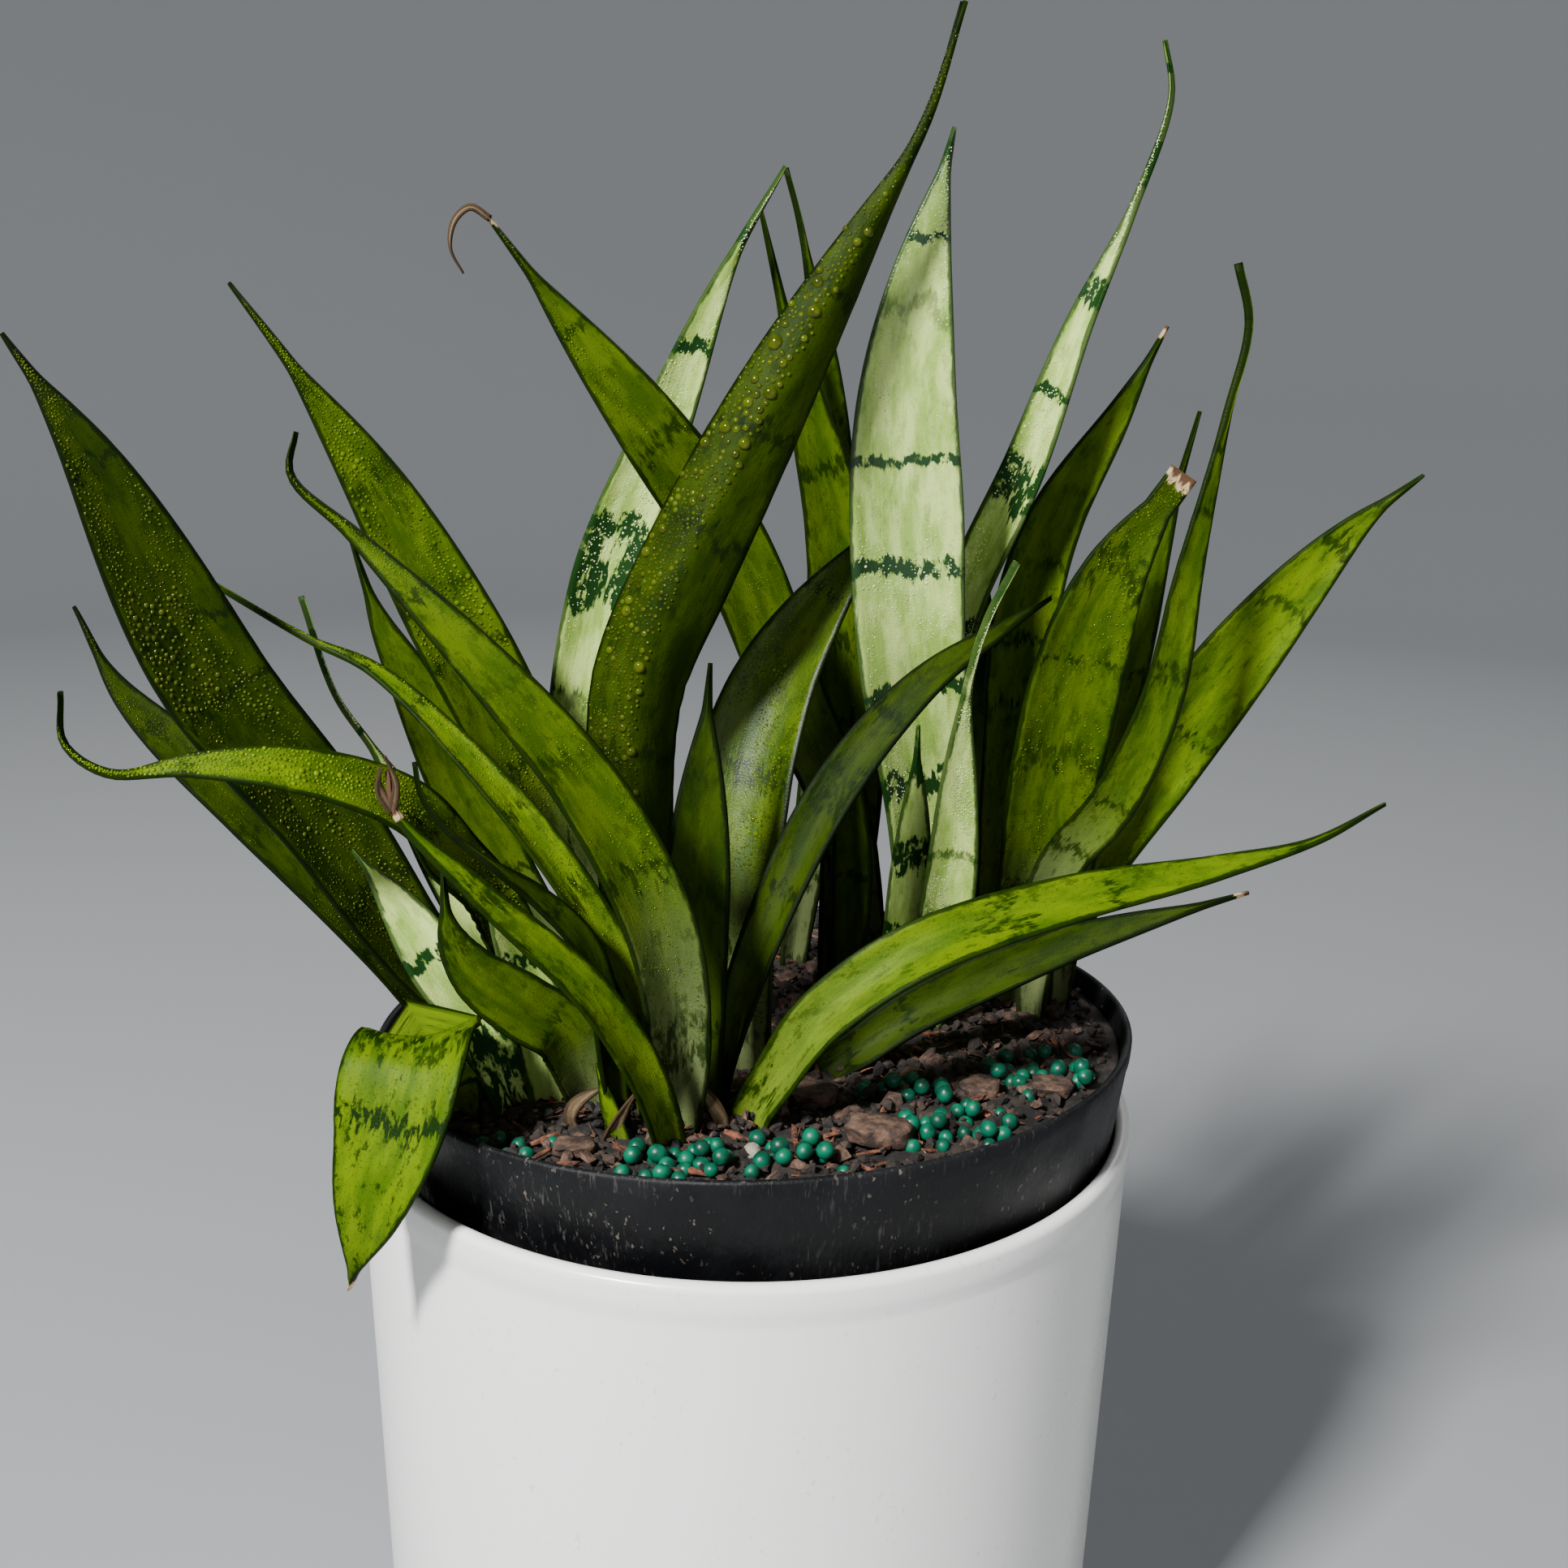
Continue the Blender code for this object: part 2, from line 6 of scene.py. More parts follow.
import logging
import math
import random
from dataclasses import dataclass, field
from enum import Enum

import bmesh
import bpy
from mathutils import Euler, Matrix, Vector, noise


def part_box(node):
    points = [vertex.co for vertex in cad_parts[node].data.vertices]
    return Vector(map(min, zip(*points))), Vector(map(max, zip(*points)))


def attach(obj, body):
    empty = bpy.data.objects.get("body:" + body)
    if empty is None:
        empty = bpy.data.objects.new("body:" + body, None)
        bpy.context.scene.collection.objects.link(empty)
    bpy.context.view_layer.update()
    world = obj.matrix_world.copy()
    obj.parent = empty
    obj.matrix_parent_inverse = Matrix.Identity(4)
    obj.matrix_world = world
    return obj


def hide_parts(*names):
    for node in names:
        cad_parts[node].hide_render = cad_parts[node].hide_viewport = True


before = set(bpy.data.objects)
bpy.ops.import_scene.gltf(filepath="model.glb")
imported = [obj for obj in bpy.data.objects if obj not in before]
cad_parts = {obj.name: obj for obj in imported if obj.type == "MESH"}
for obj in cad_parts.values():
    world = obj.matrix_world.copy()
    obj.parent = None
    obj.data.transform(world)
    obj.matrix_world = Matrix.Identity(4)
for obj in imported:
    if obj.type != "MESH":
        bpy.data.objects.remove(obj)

log = logging.getLogger("snake_plant")
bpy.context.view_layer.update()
MM = 0.001
ROOT = "root"
POT_MOUTH = Vector((1.5, 1.0, 166.0))
POT_LEAN = Vector((-0.035, 0.030, 1.0)).normalized()
POT_HEIGHT = 159.5
SOIL_BELOW_LIP = 4.6
ROOT_DEPTH = 9.0

Pair = tuple[float, float]
Triple = tuple[float, float, float]
Socket = bpy.types.NodeSocket


class Tone(Enum):
    """The leaf colourings on the plant; LEAF_FINISHES holds the colours of each."""

    LIME = "lime"
    GREEN = "green"
    DARK = "dark"
    SILVER = "silver"
    DRIED = "dried"


class Wet(Enum):
    """How much water stands on a leaf.

    Each has the number of drops, their largest radius in millimetres and the smallest as a share of that.
    """

    DRY = (0, 0.0, 1.0)
    BEADED = (900, 0.36, 0.5)
    SPRAYED = (1700, 0.62, 0.5)
    SOAKED = (1500, 1.9, 0.22)


# --------------------------------------------------------------------------------------------------
# Mesh helpers


def as_object(name: str, bm: bmesh.types.BMesh, finish: bpy.types.Material | None = None,
              smooth: bool = True) -> bpy.types.Object:
    """Turns a bmesh in millimetres into an object in metres.

    Args:
        name: The object's name.
        bm: Its shape, in place; it is freed here.
        finish: Its material, if it has one.
        smooth: Whether its faces are shaded smooth.

    Returns:
        The new object, at the origin.
    """
    bmesh.ops.scale(bm, vec=(MM, MM, MM), verts=bm.verts)
    for face in bm.faces:
        face.smooth = smooth
    mesh = bpy.data.meshes.new(name)
    bm.to_mesh(mesh)
    bm.free()
    if finish:
        mesh.materials.append(finish)
    made = bpy.data.objects.new(name, mesh)
    bpy.context.scene.collection.objects.link(made)
    return made


def as_piece(name: str, bm: bmesh.types.BMesh, finish: bpy.types.Material,
             stands_for: tuple[str, ...] = (), smooth: bool = True) -> bpy.types.Object:
    """Turns a bmesh in millimetres into a piece of the plant.

    Args:
        name: The piece's name.
        bm: Its shape, in place; it is freed here.
        finish: Its material.
        stands_for: The frame nodes that it replaces.
        smooth: Whether its faces are shaded smooth.

    Returns:
        The new object, riding on the root body.
    """
    piece = as_object(name, bm, finish, smooth)
    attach(piece, ROOT)
    if stands_for:
        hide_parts(*stands_for)
    return piece


def lathe(profile: list[Pair], steps: int) -> bmesh.types.BMesh:
    """Spins a closed profile about Z.

    Args:
        profile: Radius and height of each point, from the axis, up the inside and down the outside.
        steps: Facets round the axis.

    Returns:
        The turned shell, with its normals outwards.
    """
    bm = bmesh.new()
    points = [bm.verts.new((radius, 0.0, height)) for radius, height in profile]
    edges = [bm.edges.new(pair) for pair in zip(points, points[1:])]
    bmesh.ops.spin(bm, geom=points + edges, axis=(0, 0, 1), cent=(0, 0, 0), dvec=(0, 0, 0),
                   angle=math.tau, steps=steps, use_merge=True, use_duplicate=False)
    bmesh.ops.remove_doubles(bm, verts=bm.verts, dist=0.0005)
    bmesh.ops.recalc_face_normals(bm, faces=bm.faces)
    return bm


class Stamp:
    """A small finished shape that is copied many times into one piece."""

    def __init__(self, bm: bmesh.types.BMesh) -> None:
        """Keeps the shape; the bmesh is freed here."""
        self.mesh = bpy.data.meshes.new("stamp")
        bm.to_mesh(self.mesh)
        bm.free()

    def press(self, bm: bmesh.types.BMesh, place: Matrix) -> None:
        """Adds a copy of the shape to a bmesh.

        Args:
            bm: The bmesh that gains the copy.
            place: Where the copy goes.
        """
        copy = self.mesh.copy()
        copy.transform(place)
        bm.from_mesh(copy, face_normals=False, vertex_normals=False)
        bpy.data.meshes.remove(copy)

    def clear(self) -> None:
        """Removes the kept shape."""
        bpy.data.meshes.remove(self.mesh)


def pebble(subdivisions: int, roughness: float, seed: int) -> Stamp:
    """A lumpy ball of unit radius; with no roughness it is round.

    Args:
        subdivisions: Icosphere subdivisions; 1 has 20 faces and 2 has 80.
        roughness: How far its points are pushed in and out.
        seed: Which lumps it gets.

    Returns:
        The shape as a stamp.
    """
    bm = bmesh.new()
    bmesh.ops.create_icosphere(bm, subdivisions=subdivisions, radius=1.0)
    for vert in bm.verts:
        vert.co *= 1 + roughness * noise.noise(vert.co * 1.3 + Vector((seed * 5.1, 0, 0)))
    return Stamp(bm)


def arc(centre: Pair, radius: float, start: float, end: float, steps: int) -> list[Pair]:
    """Points along a circular arc in the profile plane; angles are in degrees."""
    angles = [math.radians(start + (end - start) * i / steps) for i in range(steps + 1)]
    return [(centre[0] + radius * math.cos(a), centre[1] + radius * math.sin(a)) for a in angles]


def soil_height(x: float, y: float) -> float:
    """Height of the level mix under a point, in millimetres."""
    middle = POT_MOUTH - POT_LEAN * SOIL_BELOW_LIP
    return middle.z - ((x - middle.x) * POT_LEAN.x + (y - middle.y) * POT_LEAN.y) / POT_LEAN.z


def pot_turn() -> Matrix:
    """The nursery pot's place in the scene, in millimetres, from its own axis and underside."""
    turn = Vector((0, 0, 1)).rotation_difference(POT_LEAN)
    return Matrix.Translation(POT_MOUTH - POT_LEAN * POT_HEIGHT) @ turn.to_matrix().to_4x4()


# --------------------------------------------------------------------------------------------------
# Finishes


class Nodes:
    """A small hand for wiring shader nodes."""

    def __init__(self, tree: bpy.types.NodeTree) -> None:
        """Keeps the tree that the nodes go into."""
        self.tree = tree

    def add(self, kind: str, **settings: object) -> bpy.types.Node:
        """Adds a node and sets its properties."""
        node = self.tree.nodes.new(kind)
        for key, value in settings.items():
            setattr(node, key, value)
        return node

    def link(self, source: Socket, target: Socket) -> None:
        """Joins two sockets."""
        self.tree.links.new(source, target)

    def math(self, operation: str, a: object, b: object = None, clamp: bool = False) -> Socket:
        """Adds a Math node; a and b are sockets or numbers."""
        node = self.add("ShaderNodeMath", operation=operation, use_clamp=clamp)
        for i, value in enumerate((a, b)):
            if value is None:
                continue
            if isinstance(value, Socket):
                self.link(value, node.inputs[i])
            else:
                node.inputs[i].default_value = value
        return node.outputs[0]

    def plus(self, a: object, b: object, clamp: bool = False) -> Socket:
        """Adds two values."""
        return self.math("ADD", a, b, clamp)

    def minus(self, a: object, b: object) -> Socket:
        """Takes b from a."""
        return self.math("SUBTRACT", a, b)

    def times(self, a: object, b: object, clamp: bool = False) -> Socket:
        """Multiplies two values."""
        return self.math("MULTIPLY", a, b, clamp)

    def most(self, a: object, b: object, clamp: bool = False) -> Socket:
        """Gives the larger of two values."""
        return self.math("MAXIMUM", a, b, clamp)

    def sway(self, value: Socket, depth: object) -> Socket:
        """Turns 0..1 into a push either way, by up to half the depth."""
        return self.times(self.minus(value, 0.5), depth)

    def split(self, vector: Socket) -> tuple[Socket, ...]:
        """Gives a vector's three parts."""
        node = self.add("ShaderNodeSeparateXYZ")
        self.link(vector, node.inputs[0])
        return tuple(node.outputs)

    def join(self, *parts: Socket | None) -> Socket:
        """Makes a vector from its parts; None is nought."""
        node = self.add("ShaderNodeCombineXYZ")
        for i, part in enumerate(parts):
            if part is not None:
                self.link(part, node.inputs[i])
        return node.outputs[0]

    def noise(self, vector: Socket, scale: float, detail: float = 3.0, rough: float = 0.5) -> Socket:
        """Adds a Noise Texture and gives its value."""
        node = self.add("ShaderNodeTexNoise")
        node.inputs["Scale"].default_value = scale
        node.inputs["Detail"].default_value = detail
        node.inputs["Roughness"].default_value = rough
        self.link(vector, node.inputs["Vector"])
        return node.outputs["Fac"]

    def drawn(self, vector: Socket, scales: Triple, detail: float = 3.0, rough: float = 0.5) -> Socket:
        """Gives noise that is drawn out differently along each axis."""
        node = self.add("ShaderNodeMapping")
        node.inputs["Scale"].default_value = scales
        self.link(vector, node.inputs["Vector"])
        return self.noise(node.outputs["Vector"], 1.0, detail, rough)

    def ramp(self, value: Socket, low: float, high: float) -> Socket:
        """Maps low..high to a smooth 0..1."""
        node = self.add("ShaderNodeMapRange", interpolation_type="SMOOTHSTEP")
        node.inputs["From Min"].default_value = low
        node.inputs["From Max"].default_value = high
        self.link(value, node.inputs["Value"])
        return node.outputs["Result"]

    def blend(self, share: object, a: object, b: object) -> Socket:
        """Mixes two colours; each is a socket or a colour."""
        node = self.add("ShaderNodeMix", data_type="RGBA")
        for socket, value in ((node.inputs[0], share), (node.inputs[6], a), (node.inputs[7], b)):
            if isinstance(value, Socket):
                self.link(value, socket)
            else:
                socket.default_value = (*value, 1.0)
        return node.outputs[2]

    def bump(self, height: Socket, shader: bpy.types.Node, strength: float, distance: float) -> None:
        """Roughens a shader's surface by a height; distance is in metres."""
        node = self.add("ShaderNodeBump")
        node.inputs["Strength"].default_value = strength
        node.inputs["Distance"].default_value = distance
        self.link(height, node.inputs["Height"])
        self.link(node.outputs[0], shader.inputs["Normal"])


def principled(name: str) -> tuple[bpy.types.Material, Nodes, bpy.types.Node]:
    """Makes a material.

    Args:
        name: Its name.

    Returns:
        The material, a Nodes hand on its tree, and its Principled shader.
    """
    made = bpy.data.materials.new(name)
    made.use_nodes = True
    return made, Nodes(made.node_tree), made.node_tree.nodes["Principled BSDF"]


def new_group(name: str, inputs: dict[str, object],
              outputs: dict[str, str]) -> tuple[bpy.types.NodeTree, Nodes]:
    """Starts a shader node group.

    Args:
        name: The group's name.
        inputs: Socket names with their default values; a 3-tuple makes a colour.
        outputs: Socket names with their socket types.

    Returns:
        The group and a Nodes hand on it.
    """
    group = bpy.data.node_groups.new(name, "ShaderNodeTree")
    for key, value in inputs.items():
        kind = "NodeSocketColor" if isinstance(value, tuple) else "NodeSocketFloat"
        socket = group.interface.new_socket(name=key, in_out="INPUT", socket_type=kind)
        socket.default_value = (*value, 1.0) if isinstance(value, tuple) else value
    for key, kind in outputs.items():
        group.interface.new_socket(name=key, in_out="OUTPUT", socket_type=kind)
    return group, Nodes(group)


@dataclass(frozen=True)
class Markings:
    """How finely a leaf is marked, and where.

    Triples are noise scales across the blade, along it and from seed to seed, a decimetre being one unit.
    Pairs are the two ends of a mark's soft edge; foot and tip are shares of the blade's length.
    """

    zigzag: Triple = (16.0, 3.0, 1.0)
    zigzag_depth: float = 0.12
    dashes: Triple = (85.0, 14.0, 1.0)
    rungs: float = 4.2
    rung_drift: Triple = (0.0, 2.6, 1.0)
    drift_depth: float = 2.6
    rung_edge: Pair = (0.76, 0.90)
    strength: Triple = (0.0, 4.1, 1.7)
    strength_edge: Pair = (0.36, 0.50)
    faintest: float = 0.25
    breaks: Triple = (60.0, 32.0, 1.0)
    break_edge: Pair = (0.34, 0.56)
    blotches: Triple = (46.0, 21.0, 1.0)
    blotch_edge: Pair = (0.535, 0.62)
    specks: float = 170.0
    speck_edge: Pair = (0.60, 0.68)
    speck_share: float = 0.6
    clouds: Triple = (26.0, 7.0, 1.0)
    cloud_edge: Pair = (0.35, 0.65)
    foot: Pair = (0.10, 0.42)
    tip: Pair = (0.84, 0.97)
    margin: Pair = (0.002, 0.0075)
    margin_fray: float = 0.016
    margin_share: float = 0.9
    dry_line: Pair = (0.0, 0.006)
    dry_body: Pair = (0.012, 0.022)
    dry_fray: float = 0.05
    veins: Triple = (300.0, 8.0, 1.0)
    grain: float = 230.0
    dents: Triple = (34.0, 16.0, 1.0)


def leaf_pattern(m: Markings = Markings()) -> bpy.types.NodeTree:
    """The leaf's markings along the blade's UVs.

    Narrow zigzag cross bands of lengthwise dashes, soft mottling, a dark margin line, a paler foot,
    a darker tip and, where one is asked for, a dried end.

    Args:
        m: How finely each marking repeats, and where it lies.

    Returns:
        The group; its lengths are decimetres.
    """
    group, n = new_group(
        "leaf pattern",
        {"Ground": (0.2, 0.3, 0.05), "Light": (0.3, 0.4, 0.1), "Band": (0.02, 0.05, 0.01),
         "Foot": (0.3, 0.4, 0.2), "Margin": (0.01, 0.02, 0.005), "Dry": (0.1, 0.06, 0.03),
         "Dry edge": (0.45, 0.33, 0.19), "Band share": 0.5, "Mottle": 0.5, "Foot share": 0.5,
         "Tip shade": 0.6, "Fray": 0.1, "Dry from": 2.0, "Seed": 0.0},
        {"Color": "NodeSocketColor", "Height": "NodeSocketFloat", "Shine": "NodeSocketFloat"})
    start = n.add("NodeGroupInput").outputs
    end = n.add("NodeGroupOutput").inputs
    across, up, _ = n.split(n.add("ShaderNodeUVMap", uv_map="share").outputs[0])
    moved = n.add("ShaderNodeVectorMath", operation="ADD")
    n.link(n.add("ShaderNodeUVMap", uv_map="size").outputs[0], moved.inputs[0])
    n.link(n.join(None, start["Seed"], start["Seed"]), moved.inputs[1])
    place = moved.outputs[0]
    off_middle, length, _ = n.split(place)
    # cross bands: uneven rungs up the blade, bent into a zigzag and frayed by short lengthwise dashes
    zigzag = n.sway(n.drawn(place, m.zigzag, 2.0), m.zigzag_depth)
    dashes = n.drawn(place, m.dashes, 3.0, 0.65)
    along = n.plus(length, n.plus(zigzag, n.sway(dashes, start["Fray"])))
    line = n.join(None, length, start["Seed"])
    drift = n.times(n.drawn(line, m.rung_drift, 1.0), m.drift_depth)
    rungs = n.math("FRACT", n.plus(n.times(along, m.rungs), drift))
    rung = n.math("ABSOLUTE", n.minus(n.times(rungs, 2.0), 1.0))
    strong = n.ramp(n.drawn(line, m.strength, 1.0), *m.strength_edge)
    broken = n.ramp(n.drawn(place, m.breaks, 3.0, 0.6), *m.break_edge)
    share = n.times(n.plus(n.times(strong, 1 - m.faintest), m.faintest), start["Band share"])
    band = n.times(n.ramp(rung, *m.rung_edge), n.times(broken, share), clamp=True)
    # soft mottling between the bands, drawn out along the blade
    blotch = n.ramp(n.drawn(place, m.blotches, 5.0, 0.74), *m.blotch_edge)
    mottle = n.times(blotch, start["Mottle"])
    speck = n.ramp(n.noise(place, m.specks, 2.0), *m.speck_edge)
    marks = n.most(mottle, n.times(speck, n.times(start["Mottle"], m.speck_share)))
    cloud = n.ramp(n.drawn(place, m.clouds, 4.0, 0.6), *m.cloud_edge)
    ground = n.blend(cloud, start["Ground"], start["Light"])
    foot = n.times(n.minus(1.0, n.ramp(up, *m.foot)), start["Foot share"])
    marked = n.blend(n.most(band, marks, clamp=True), n.blend(foot, ground, start["Foot"]), start["Band"])
    tipped = n.blend(n.times(n.ramp(up, *m.tip), start["Tip shade"]), marked, start["Band"])
    # the margin line keeps one width in millimetres, so the distance to the edge is worked out first
    side = n.math("ABSOLUTE", n.minus(n.times(across, 2.0), 1.0))
    half_width = n.math("DIVIDE", n.math("ABSOLUTE", off_middle), n.most(side, 0.2))
    inward = n.most(n.times(half_width, n.minus(1.0, side)), n.times(n.minus(0.5, side), 0.2))
    ragged = n.minus(inward, n.sway(dashes, m.margin_fray))
    edge = n.times(n.minus(1.0, n.ramp(ragged, *m.margin)), m.margin_share)
    edged = n.blend(edge, tipped, start["Margin"])
    # a dried end is brown, with a pale line where it meets the living blade
    past = n.minus(n.plus(up, n.sway(dashes, m.dry_fray)), start["Dry from"])
    dry_end = n.blend(n.ramp(past, *m.dry_body), start["Dry edge"], start["Dry"])
    n.link(n.blend(n.ramp(past, *m.dry_line), edged, dry_end), end["Color"])
    # fine lengthwise veins, a skin grain, and slow dents
    veins = n.drawn(place, m.veins, 2.0)
    grain = n.noise(place, m.grain, 2.0)
    dents = n.drawn(place, m.dents, 2.0)
    height = n.plus(n.times(veins, 0.22), n.times(grain, 0.34))
    n.link(n.plus(height, n.times(dents, 0.9)), end["Height"])
    n.link(n.times(n.plus(veins, grain), 0.5), end["Shine"])
    return group


def wear_pattern() -> bpy.types.NodeTree:
    """Dust specks, clouds of dust and upright scuffs for plastic, on object coordinates.

    Returns:
        The group; Dust and Scuffs say how strong each is.
    """
    group, n = new_group(
        "wear pattern", {"Dust": 0.5, "Scuffs": 0.5},
        {"Dust mask": "NodeSocketFloat", "Scuff mask": "NodeSocketFloat", "Cloud": "NodeSocketFloat",
         "Height": "NodeSocketFloat"})
    start = n.add("NodeGroupInput").outputs
    end = n.add("NodeGroupOutput").inputs
    place = n.add("ShaderNodeTexCoord").outputs["Object"]
    speck = n.drawn(place, (900.0, 900.0, 520.0), 2.0)
    dusty = n.ramp(n.noise(place, 55.0), 0.42, 0.62)
    specks = n.times(n.ramp(speck, 0.655, 0.70), dusty)
    n.link(n.times(specks, start["Dust"], clamp=True), end["Dust mask"])
    upright = n.drawn(place, (1150.0, 1150.0, 95.0), 3.0, 0.7)
    patches = n.ramp(n.drawn(place, (34.0, 34.0, 85.0), 3.0, 0.6), 0.40, 0.62)
    scuffs = n.times(n.ramp(upright, 0.565, 0.66), patches)
    n.link(n.times(scuffs, start["Scuffs"], clamp=True), end["Scuff mask"])
    n.link(n.noise(place, 38.0, 5.0, 0.65), end["Cloud"])
    n.link(n.plus(speck, n.times(upright, 0.6)), end["Height"])
    return group


@dataclass(frozen=True)
class LeafFinish:
    """Colours of one leaf tone, and how strongly it is marked; the drop colour is painted light, a lighter
    leaf colour that stands in for the light the clear drops gather.
    """

    ground: Triple
    light: Triple
    band: Triple
    foot: Triple
    margin: Triple
    roughness: float
    band_share: float
    mottle: float
    foot_share: float
    fray: float
    # painted light: the drops' colour, lighter than the leaf, stands in for the light that the clear water
    # gathers
    drop_painted_light: Triple


# The last colour of each tone is the drops' painted light, lighter than the leaf itself.
LEAF_FINISHES = {
    Tone.LIME: LeafFinish(
        (0.042, 0.090, 0.0), (0.092, 0.152, 0.0), (0.004, 0.017, 0.0), (0.14, 0.19, 0.035),
        (0.003, 0.012, 0.0), 0.47, 0.9, 0.50, 0.35, 0.17, (0.125, 0.195, 0.0)),
    Tone.GREEN: LeafFinish(
        (0.026, 0.058, 0.0), (0.060, 0.102, 0.0), (0.004, 0.014, 0.0), (0.125, 0.152, 0.062),
        (0.0025, 0.009, 0.0), 0.47, 0.85, 0.42, 0.85, 0.15, (0.085, 0.135, 0.0)),
    Tone.DARK: LeafFinish(
        (0.010, 0.024, 0.0), (0.024, 0.044, 0.0), (0.0025, 0.009, 0.0), (0.038, 0.056, 0.010),
        (0.002, 0.006, 0.0), 0.55, 0.85, 0.42, 0.35, 0.15, (0.062, 0.085, 0.002)),
    Tone.SILVER: LeafFinish(
        (0.24, 0.38, 0.06), (0.46, 0.60, 0.17), (0.007, 0.034, 0.006), (0.34, 0.43, 0.14),
        (0.006, 0.030, 0.003), 0.44, 2.2, 0.24, 0.4, 0.075, (0.64, 0.76, 0.38)),
    Tone.DRIED: LeafFinish(
        (0.075, 0.050, 0.028), (0.21, 0.150, 0.085), (0.030, 0.018, 0.010), (0.10, 0.07, 0.04),
        (0.04, 0.025, 0.014), 0.75, 0.2, 0.5, 0.3, 0.1, (0.3, 0.3, 0.3)),
}
DRY_END = (0.085, 0.045, 0.024)
DRY_EDGE = (0.46, 0.33, 0.18)


class Finishes:
    """Makes and keeps every material of the plant."""

    def __init__(self) -> None:
        """Builds the shared groups once."""
        self.pattern = leaf_pattern()
        self.wear = wear_pattern()

    def leaf(self, plan: "Leaf", seed: float) -> bpy.types.Material:
        """One leaf's living surface.

        Args:
            plan: The leaf's plan, with its colouring, gloss and dried end.
            seed: Where its markings start, so that no two leaves match.

        Returns:
            The material.
        """
        finish = LEAF_FINISHES[plan.tone]
        made, n, shader = principled(plan.name + "_surface")
        marks = n.add("ShaderNodeGroup", node_tree=self.pattern)
        colours = {"Ground": finish.ground, "Light": finish.light, "Band": finish.band, "Foot": finish.foot,
                   "Margin": finish.margin, "Dry": DRY_END, "Dry edge": DRY_EDGE}
        for key, colour in colours.items():
            marks.inputs[key].default_value = (*colour, 1.0)
        amounts = {"Band share": finish.band_share * plan.marked, "Mottle": finish.mottle * plan.marked,
                   "Foot share": finish.foot_share, "Fray": finish.fray, "Dry from": plan.dry_from,
                   "Seed": seed}
        for key, amount in amounts.items():
            marks.inputs[key].default_value = amount
        n.link(marks.outputs["Color"], shader.inputs["Base Color"])
        smoothest = finish.roughness - plan.gloss - 0.13
        n.link(n.plus(n.times(marks.outputs["Shine"], 0.30), smoothest), shader.inputs["Roughness"])
        shader.inputs["Specular IOR Level"].default_value = 0.06 + 2.2 * plan.gloss
        n.bump(marks.outputs["Height"], shader, 0.55, 0.0004)
        return made

    def water(self, tone: Tone) -> bpy.types.Material:
        """Standing drops, made as a lighter, glossy skin of the leaf: the lighter colour is painted light for
        the light that clear water gathers, and random darker patches in them are painted shade.

        Args:
            tone: The leaf's colouring.

        Returns:
            The material; it is made once for each tone.
        """
        name = "water_on_" + tone.value
        if name in bpy.data.materials:
            return bpy.data.materials[name]
        made, n, shader = principled(name)
        place = n.add("ShaderNodeTexCoord").outputs["Object"]
        drop_painted_light = LEAF_FINISHES[tone].drop_painted_light
        # painted shade: deep is the darker colour of random patches in the drops, mixed by the noise below
        # with the drops' painted light
        deep = tuple(channel * 0.45 for channel in drop_painted_light)
        depth = n.ramp(n.noise(place, 300.0, 2.0), 0.35, 0.65)
        n.link(n.blend(depth, deep, drop_painted_light), shader.inputs["Base Color"])
        shader.inputs["Roughness"].default_value = 0.08
        shader.inputs["IOR"].default_value = 1.33
        return made

    def wear_on(self, n: Nodes, dust: float, scuffs: float) -> bpy.types.Node:
        """Adds the wear pattern to a plastic.

        Args:
            n: A Nodes hand on the plastic's tree.
            dust: How strong its dust is.
            scuffs: How strong its scuffs are.

        Returns:
            The pattern's node.
        """
        wear = n.add("ShaderNodeGroup", node_tree=self.wear)
        wear.inputs["Dust"].default_value = dust
        wear.inputs["Scuffs"].default_value = scuffs
        return wear

    def planter(self) -> bpy.types.Material:
        """Softly glossy white with a few fine specks of dust."""
        made, n, shader = principled("planter_gloss_white")
        wear = self.wear_on(n, 0.35, 0.04).outputs
        clean = n.blend(wear["Cloud"], (0.925, 0.925, 0.885), (0.95, 0.95, 0.915))
        n.link(n.blend(wear["Dust mask"], clean, (0.50, 0.46, 0.40)), shader.inputs["Base Color"])
        n.link(n.plus(n.times(wear["Cloud"], 0.16), 0.20), shader.inputs["Roughness"])
        shader.inputs["Coat Weight"].default_value = 0.25
        shader.inputs["Coat Roughness"].default_value = 0.10
        return made

    def pot(self) -> bpy.types.Material:
        """Black plastic with clouds of dust, pale specks and short upright scuffs."""
        made, n, shader = principled("pot_scuffed_black")
        wear = self.wear_on(n, 0.55, 0.62).outputs
        film = n.ramp(wear["Cloud"], 0.40, 0.68)
        filmed = n.blend(film, (0.0026, 0.0028, 0.0034), (0.0090, 0.0092, 0.0100))
        scuffed = n.blend(wear["Scuff mask"], filmed, (0.085, 0.083, 0.080))
        n.link(n.blend(wear["Dust mask"], scuffed, (0.22, 0.18, 0.14)), shader.inputs["Base Color"])
        dull = n.plus(wear["Scuff mask"], film, clamp=True)
        n.link(n.plus(n.times(dull, 0.22), 0.46), shader.inputs["Roughness"])
        shader.inputs["Specular IOR Level"].default_value = 0.20
        n.bump(wear["Height"], shader, 0.45, 0.0003)
        return made

